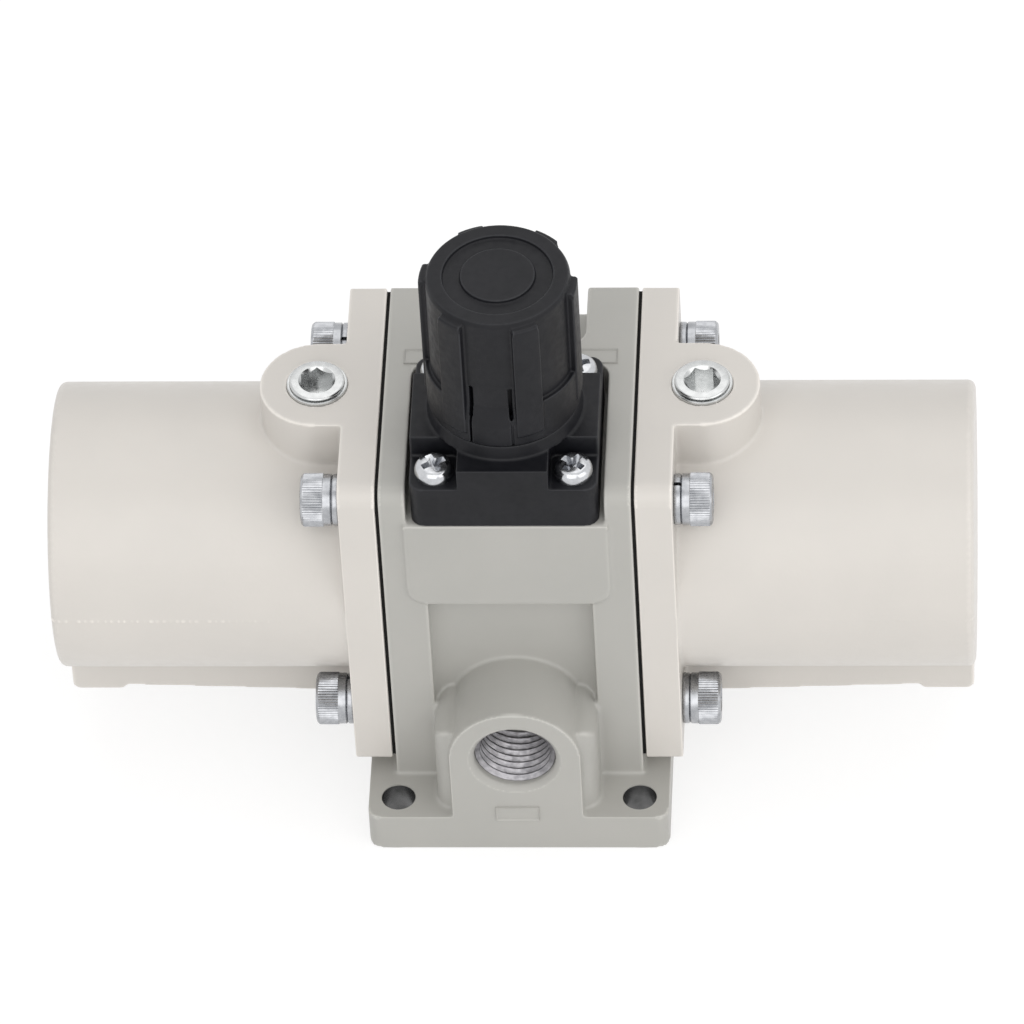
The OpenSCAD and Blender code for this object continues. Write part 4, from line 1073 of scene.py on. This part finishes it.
@dataclass
class CoverFasteners:
    """The eight cap screws of the covers and their split spring washers."""

    head_r: float = 4.25 * MM
    head_h: float = 5.0 * MM
    band_h: float = 1.35 * MM
    band_in: float = 0.12 * MM
    rib_count: int = 60
    rib_depth: float = 0.17 * MM
    shank_r: float = 2.5 * MM
    socket: float = 4.0 * MM
    socket_depth: float = 2.6 * MM
    washer_r: tuple[float, float] = (2.75 * MM, 4.12 * MM)
    washer_round: float = 0.28 * MM
    washer_slack: float = 0.06 * MM
    washer_steps: int = 56
    split_deg: float = 9.0
    spin_first: float = 0.7
    spin_step: float = 1.9
    spin_side: float = 0.6

    def cap_screw(self, length: float) -> bpy.types.Object:
        """Models one screw along Z, with its head on z = 0 and up.

        Args:
            length: Length under the head.

        Returns:
            The knurled screw with its socket.
        """
        top, rim = self.head_h, self.head_r
        band_r = rim - self.band_in
        knurl_z = self.band_h + 0.1 * MM
        knurl_top = top - 0.6 * MM
        outline = [
            (0, -length), (self.shank_r - 0.5 * MM, -length), (self.shank_r, -length + 0.5 * MM),
            (self.shank_r, 0), (band_r - 0.25 * MM, 0), (band_r, 0.2 * MM), (band_r, self.band_h),
            (rim, knurl_z), (rim, knurl_top), (rim - 0.08 * MM, top - 0.4 * MM),
            (rim - 0.3 * MM, top - 0.12 * MM), (rim - 0.62 * MM, top), (0, top),
        ]
        screw = Bench.turn("cap_screw", outline, 2 * self.rib_count)
        column = math.pi / self.rib_count
        slack = 0.01 * MM

        def in_groove(spot: Vector) -> bool:
            """Tells whether a point lies at the foot of a knurl groove."""
            turn = round(math.atan2(spot.y, spot.x) / column)
            return turn % 2 == 1 and knurl_z - slack < spot.z < knurl_top + slack

        share = 1 - self.rib_depth / rim
        Bench.draw_in(screw, in_groove, share, share)
        Bench.cut(screw, Bench.hexagon(self.socket, top, self.socket_depth))
        Bench.shade(screw, 24)
        return screw

    def washer(self, thickness: float) -> bpy.types.Object:
        """Models one split spring washer that stands on z = 0.

        Args:
            thickness: Height of its section.

        Returns:
            The washer, open at its split.
        """
        inner, outer = self.washer_r
        bpy.ops.object.select_all(action="DESELECT")
        bpy.ops.mesh.primitive_plane_add(size=1, rotation=(math.pi / 2, 0, 0))
        ring = bpy.context.object
        ring.scale = (outer - inner, thickness - self.washer_slack, 1)
        ring.location = ((inner + outer) / 2, 0, thickness / 2)
        Bench.settle(ring)
        with Bench.editing(ring):
            bpy.ops.mesh.select_all(action="SELECT")
            bpy.ops.mesh.bevel(offset=self.washer_round, segments=3, affect="VERTICES")
            bpy.ops.mesh.select_all(action="SELECT")
            sweep = math.radians(360 - self.split_deg)
            bpy.ops.mesh.spin(steps=self.washer_steps, angle=sweep, center=(0, 0, 0), axis=(0, 0, 1))
        Bench.close(ring)
        Bench.shade(ring, 40)
        return ring

    def build(self) -> None:
        """Builds and dresses the screws and the washers."""
        low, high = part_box("cover_screws")
        under_x = high.x - self.head_h
        length = under_x - self.nearest_x("cover_screws")
        flange_x = self.nearest_x("cover_spring_washers")
        corners = list(product((low.y + self.head_r, high.y - self.head_r),
                               (low.z + self.head_r, high.z - self.head_r)))
        screws, washers = [], []
        for side in Side:
            outwards = Matrix.Rotation(side.value * math.pi / 2, 4, "Y")
            for corner, (y, z) in enumerate(corners):
                angle = self.spin_first + self.spin_step * corner + self.spin_side * side.value
                spin = Matrix.Rotation(angle, 4, "Z")
                at_head = Matrix.Translation((side.value * under_x, y, z))
                screws.append(at_head @ outwards @ spin)
                at_flange = Matrix.Translation((side.value * flange_x, y, z))
                washers.append(at_flange @ outwards @ spin)
        screw_set = Bench.stand(self.cap_screw(length), "cap_screws", screws)
        Bench.hand_over(screw_set, SCREW_ZINC, "zinc_plate", "housing", "cover_screws")
        washer_set = Bench.stand(self.washer(under_x - flange_x), "split_washers", washers)
        Bench.hand_over(washer_set, SCREW_ZINC, "zinc_plate", "housing", "cover_spring_washers")

    @staticmethod
    def nearest_x(node: str) -> float:
        """How near a node's points come to the middle, along X."""
        return min(abs(point.co.x) for point in frame["nodes"][node].data.vertices)


@dataclass
class GaugePlugs:
    """The two plugs with a hexagon socket in the gauge bosses."""

    radius: float = 4.87 * MM
    shoulder_r: float = 4.43 * MM
    ring_drop: float = 0.62 * MM
    socket: float = 5.0 * MM
    socket_depth: float = 2.8 * MM
    spin_mean: float = 0.25
    spin_side: float = 0.2

    def plug(self, length: float) -> bpy.types.Object:
        """Models one plug along Z, with its top on z = 0.

        Args:
            length: Length of the plug.

        Returns:
            The plug with its socket.
        """
        rim, shoulder, drop = self.radius, self.shoulder_r, self.ring_drop
        groove_r, groove_z = shoulder - 0.2 * MM, -drop - 0.22 * MM
        outline = [
            (0, -length), (rim - 0.8 * MM, -length), (rim - 0.3 * MM, -length + 0.6 * MM), (rim, -1.5 * MM),
            (rim, -drop - 0.2 * MM), (rim - 0.06 * MM, -drop - 0.07 * MM), (rim - 0.18 * MM, -drop),
            (shoulder, -drop), (shoulder - 0.06 * MM, groove_z), (groove_r, groove_z),
            (groove_r, -0.5 * MM), (shoulder - 0.03 * MM, -0.42 * MM), (shoulder, -0.32 * MM),
            (shoulder - 0.05 * MM, -0.18 * MM), (shoulder - 0.18 * MM, -0.06 * MM),
            (shoulder - 0.38 * MM, 0), (0, 0),
        ]
        plug = Bench.turn("gauge_plug", outline, 80)
        Bench.cut(plug, Bench.hexagon(self.socket, 0, self.socket_depth))
        Bench.shade(plug, 28)
        return plug

    def build(self) -> None:
        """Builds and dresses both plugs."""
        for side in Side:
            node = f"{side.word}_gauge_plug"
            low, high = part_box(node)
            middle = middle_of(node)
            turn = Matrix.Rotation(self.spin_mean + self.spin_side * side.value, 4, "Z")
            place = Matrix.Translation((middle.x, middle.y, high.z)) @ turn
            plug = Bench.stand(self.plug(high.z - low.z), f"{node}_turned", [place])
            Bench.hand_over(plug, LIT_PLUG_ZINC, "zinc_plate", "housing", node)


@dataclass
class Governor:
    """The bonnet, its four pan head screws and the lobed knob."""

    bonnet_cell: float = 0.2 * MM
    knob_cell: float = 0.16 * MM
    passes: int = 4
    head_r: float = 3.15 * MM
    head_h: float = 2.4 * MM
    shank_r: float = 1.5 * MM
    dome_degrees: tuple[float, ...] = (12, 26, 40, 53, 65, 75, 83)
    dome_powers: tuple[float, float] = (0.42, 0.7)
    pitch: float = 22.0 * MM
    spin_first: float = 0.5
    spin_step: float = 0.45
    recess: float = 4.1 * MM
    slot_w: float = 1.15 * MM
    recess_depth: float = 1.5 * MM
    recess_taper: float = 0.5
    hub_tip: float = 0.25 * MM
    hub_past: float = 0.5 * MM
    hub_share: float = 1.12
    lobe_count: int = 6
    lobe_spread: float = math.radians(21)
    lobe_turn: float = math.radians(-7)
    lobe_radii: tuple[float, float] = (10.9 * MM, 12.5 * MM)
    lobe_drops: tuple[float, float] = (3.2 * MM, 0.95 * MM)
    lobe_edge: float = 0.3 * MM

    def lobe_tops(self) -> bpy.types.Object:
        """The squared tops of the knob's lobes, which end just below its rim.

        Returns:
            The tops of all the lobes as one piece, one closed shape each.
        """
        rim_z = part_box("knob")[1].z
        foot, top = (rim_z - drop for drop in self.lobe_drops)
        inner, outer = self.lobe_radii
        size = (2 * (outer - inner), 2 * outer * math.sin(self.lobe_spread / 2), 2 * (top - foot))
        wedge = Bench.block(size, (outer, 0, top))
        Bench.draw_in(wedge, lambda spot: spot.x < outer, 1, inner / outer)
        edge = self.lobe_edge
        outline = [(0, foot), (outer, foot), (outer, top - edge), (outer - edge, top), (0, top + edge)]
        Bench.cut(wedge, Bench.turn("lobe_round", outline, 120), "INTERSECT")
        middle = middle_of("knob")
        centre = Matrix.Translation((middle.x, middle.y, 0))
        places = []
        for count in range(self.lobe_count):
            turn = self.lobe_turn + 2 * math.pi * count / self.lobe_count
            places.append(centre @ Matrix.Rotation(turn, 4, "Z"))
        return Bench.stand(wedge, "lobe_tops", places)

    def recess_blade(self, turn: float) -> bpy.types.Object:
        """One tapered blade of the cross recess.

        Args:
            turn: Its angle about Z.

        Returns:
            The closed cutter, with its broad end on the head's top.
        """
        mouth = 2 - self.recess_taper
        narrow = self.recess_taper / mouth
        size = (mouth * self.recess, mouth * self.slot_w, 2 * self.recess_depth)
        blade = Bench.block(size, (0, 0, self.head_h), turn)
        Bench.draw_in(blade, lambda spot: spot.z < self.head_h, narrow, narrow)
        return blade

    def pan_screw(self, length: float) -> bpy.types.Object:
        """Models one pan head screw along Z, with its head on z = 0 and up.

        Args:
            length: Length under the head.

        Returns:
            The screw with its cross recess.
        """
        arc = [math.radians(degrees) for degrees in self.dome_degrees]
        wide, tall = self.dome_powers
        dome = [(self.head_r * math.cos(a) ** wide, self.head_h * math.sin(a) ** tall) for a in arc]
        outline = [(0, -length), (self.shank_r, -length + MM), (self.shank_r, 0),
                   (self.head_r - 0.12 * MM, 0), (self.head_r, 0.15 * MM), *dome, (0, self.head_h)]
        screw = Bench.turn("pan_screw", outline, 64)
        for turn in (0.0, math.pi / 2):
            Bench.cut(screw, self.recess_blade(turn))
        floor, past = self.head_h - self.recess_depth, self.head_h + self.hub_past
        hub = [(0, floor), (self.hub_tip, floor), (self.slot_w * self.hub_share, past), (0, past)]
        Bench.cut(screw, Bench.turn("recess_hub", hub, 32))
        Bench.shade(screw, 35)
        return screw

    def build(self) -> None:
        """Builds and dresses the bonnet, the screws and the knob."""
        bonnet = Skin("bonnet", self.bonnet_cell, self.passes).build("bonnet_moulding")
        Bench.hand_over(bonnet, NYLON, "black_nylon", "housing", "bonnet")
        knob = Skin("knob", self.knob_cell, self.passes).build("knob_moulding", filler=self.lobe_tops())
        Bench.hand_over(knob, NYLON, "black_nylon", "knob", "knob")
        low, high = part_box("bonnet_screws")
        middle = (low + high) / 2
        seat_z = high.z - self.head_h
        places = []
        for count, (sx, sy) in enumerate(((-1, -1), (1, -1), (-1, 1), (1, 1))):
            spot = (middle.x + sx * self.pitch / 2, middle.y + sy * self.pitch / 2, seat_z)
            turn = Matrix.Rotation(self.spin_first + self.spin_step * count, 4, "Z")
            places.append(Matrix.Translation(spot) @ turn)
        screws = Bench.stand(self.pan_screw(seat_z - low.z), "pan_screws", places)
        Bench.hand_over(screws, PAN_ZINC, "zinc_plate", "housing", "bonnet_screws")


class WorkingSprings:
    """The coil springs that the record's joints name."""

    def spring(self, row: dict) -> None:
        """Builds and dresses one spring.

        Args:
            row: The joint's row for the spring, with its direction and its fixed end.
        """
        node, letter = row["node"], row["mode"][-1]
        coil = Bench.copy_node(node, f"{node}_coil")
        Bench.shade(coil, 40)
        Bench.hand_over(coil, WIRE, "spring_wire", "housing", node)
        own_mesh(coil)

    def build(self) -> None:
        """Builds every spring that the record's joints name."""
        for joint in frame["record"]["behaviour"]["joints"]:
            for row in joint.get("deforming_nodes", ()):
                if row["node"].endswith("_spring"):
                    self.spring(row)


@dataclass
class InnerWorks:
    """The pieces inside, which keep their construction shapes and get real finishes."""

    upright: tuple[str, ...] = (
        "adjusting_screw", "spring_seat_nut", "diaphragm_plate", "diaphragm_washer", "governor_seat",
        "governor_valve",
    )
    metals: dict[str, tuple[Colour, Colour]] = field(default_factory=lambda: {
        "machined_steel": ((0.42, 0.43, 0.45), (0.34, 0.35, 0.37)),
        "brass": ((0.70, 0.52, 0.22), (0.60, 0.43, 0.17)),
        "bush_bronze": ((0.46, 0.29, 0.13), (0.38, 0.23, 0.10)),
        "bare_aluminium": ((0.74, 0.75, 0.77), (0.64, 0.65, 0.67)),
    })

    def finish(self, node: str, slot: str) -> Finish:
        """The finish of a node.

        Args:
            node: The construction node.
            slot: Its slot in the record.

        Returns:
            The finish that its slot stands for.
        """
        if slot in self.metals:
            axis = Axis.Z if node in self.upright else Axis.X
            light, dark = self.metals[slot]
            return TurnedMetal(f"{slot}_{axis.name.lower()}", light, dark, axis)
        others = {"black_rubber": SEAL_RUBBER, "wear_polymer": SlidePolymer(), "zinc_plate": SCREW_ZINC}
        return others[slot]

    def dress(self) -> None:
        """Gives every node that still shows its finish."""
        for row in frame["record"]["subparts"]:
            piece = frame["nodes"][row["node"]]
            if piece.hide_render:
                continue
            material = self.finish(row["node"], row["material_slot"]).material()
            for place in piece.material_slots:
                place.material = material
            LOG.info("%s: dressed in %s", row["node"], material.name)


@dataclass
class Studio:
    """The camera at the photograph's angle, soft lamps and a pale floor."""

    azimuth: float = math.radians(4.737)
    elevation: float = math.radians(45.807)
    roll: float = math.radians(-3.493)
    distance: float = 1.70717
    target: Colour = (-0.000736, 0.0, 0.043611)
    lens: float = 373.0
    sensor_w: float = 36.0
    far: float = 20.0
    ambient: float = 0.66
    floor_size: float = 4.0
    floor_drop: float = 0.05 * MM
    floor_white: float = 0.88
    shown_white: float = 0.35
    shown_glow: float = 0.72
    warmth: Colour = (1.0, 0.985, 0.97)
    lamps: tuple[tuple[str, Colour, float, float], ...] = (
        ("key_lamp", (-0.25, -1.85, 1.45), 2.2, 15.5),
        ("fill_lamp", (1.5, -1.0, 1.0), 1.6, 9.0),
        ("top_lamp", (0.1, 0.7, 1.9), 1.8, 6.0),
    )

    def camera(self) -> None:
        """Stands the camera where the photograph was taken from."""
        a, e, r = self.azimuth, self.elevation, self.roll
        back = Vector((math.sin(a) * math.cos(e), -math.cos(a) * math.cos(e), math.sin(e)))
        right = Vector((math.cos(a), math.sin(a), 0))
        up = back.cross(right)
        rolled_right = math.cos(r) * right + math.sin(r) * up
        rolled_up = math.cos(r) * up - math.sin(r) * right
        data = bpy.data.cameras.new("camera")
        data.lens = self.lens
        data.sensor_width = self.sensor_w
        data.clip_end = self.far
        camera = Bench.enter("camera", data)
        turn = Matrix((rolled_right, rolled_up, back)).transposed().to_4x4()
        camera.matrix_world = Matrix.Translation(Vector(self.target) + back * self.distance) @ turn
        bpy.context.scene.camera = camera

    def seen(self, tree: bpy.types.NodeTree) -> bpy.types.NodeSocket:
        """A number that is 1 for what the camera, a reflection or a refraction sees.

        Args:
            tree: The node tree to add to.

        Returns:
            The number's socket.
        """
        path = tree.nodes.new("ShaderNodeLightPath")
        found = path.outputs["Is Camera Ray"]
        for name in ("Is Glossy Ray", "Is Transmission Ray"):
            either = tree.nodes.new("ShaderNodeMath")
            either.operation = "MAXIMUM"
            tree.links.new(found, either.inputs[0])
            tree.links.new(path.outputs[name], either.inputs[1])
            found = either.outputs[0]
        return found

    def surroundings(self) -> None:
        """Lights the object softly from all round, and shows white behind it."""
        world = bpy.data.worlds.new("white_room")
        world.use_nodes = True
        bpy.context.scene.world = world
        tree = world.node_tree
        tree.nodes.clear()
        mix = tree.nodes.new("ShaderNodeMixShader")
        tree.links.new(self.seen(tree), mix.inputs[0])
        for place, strength in ((1, self.ambient), (2, 1.0)):
            light = tree.nodes.new("ShaderNodeBackground")
            light.inputs["Color"].default_value = (1, 1, 1, 1)
            light.inputs["Strength"].default_value = strength
            tree.links.new(light.outputs[0], mix.inputs[place])
        output = tree.nodes.new("ShaderNodeOutputWorld")
        tree.links.new(mix.outputs[0], output.inputs["Surface"])

    def floor(self) -> None:
        """Lays a pale floor that goes white in view and keeps a faint shadow."""
        bpy.ops.object.select_all(action="DESELECT")
        ground = (0, 0, CAD_BOX[0].z - self.floor_drop)
        bpy.ops.mesh.primitive_plane_add(size=self.floor_size, location=ground)
        floor = bpy.context.object
        floor.name = "floor"
        Bench.settle(floor)
        pale = bpy.data.materials.new("pale_floor")
        pale.use_nodes = True
        tree = pale.node_tree
        tree.nodes.clear()
        bounce, shown = (tree.nodes.new("ShaderNodeBsdfDiffuse") for _ in range(2))
        for node, white in ((bounce, self.floor_white), (shown, self.shown_white)):
            node.inputs["Color"].default_value = (white, white, white, 1)
        glow = tree.nodes.new("ShaderNodeEmission")
        glow.inputs["Strength"].default_value = self.shown_glow
        lit, mix = tree.nodes.new("ShaderNodeAddShader"), tree.nodes.new("ShaderNodeMixShader")
        tree.links.new(shown.outputs[0], lit.inputs[0])
        tree.links.new(glow.outputs[0], lit.inputs[1])
        tree.links.new(self.seen(tree), mix.inputs[0])
        tree.links.new(bounce.outputs[0], mix.inputs[1])
        tree.links.new(lit.outputs[0], mix.inputs[2])
        output = tree.nodes.new("ShaderNodeOutputMaterial")
        tree.links.new(mix.outputs[0], output.inputs["Surface"])
        floor.data.materials.append(pale)

    def build(self) -> None:
        """Sets up the whole studio."""
        bpy.context.scene.view_settings.view_transform = "Standard"
        self.camera()
        self.surroundings()
        self.floor()
        for name, place, size, power in self.lamps:
            data = bpy.data.lights.new(name, "AREA")
            data.size = size
            data.energy = power
            data.color = self.warmth
            lamp = Bench.enter(name, data)
            lamp.location = place
            aim = Vector(self.target) - Vector(place)
            lamp.rotation_euler = aim.to_track_quat("-Z", "Y").to_euler()


def main() -> None:
    """Builds the studio and every sub-assembly in order."""
    logging.basicConfig(level=logging.INFO, format="%(name)s %(message)s")
    Studio().build()
    CentreBody().build()
    for side in Side:
        CylinderCover(side).build()
        JointGasket(side).build()
    CoverFasteners().build()
    GaugePlugs().build()
    Governor().build()
    WorkingSprings().build()
    InnerWorks().dress()


if __name__ == "__main__":
    main()
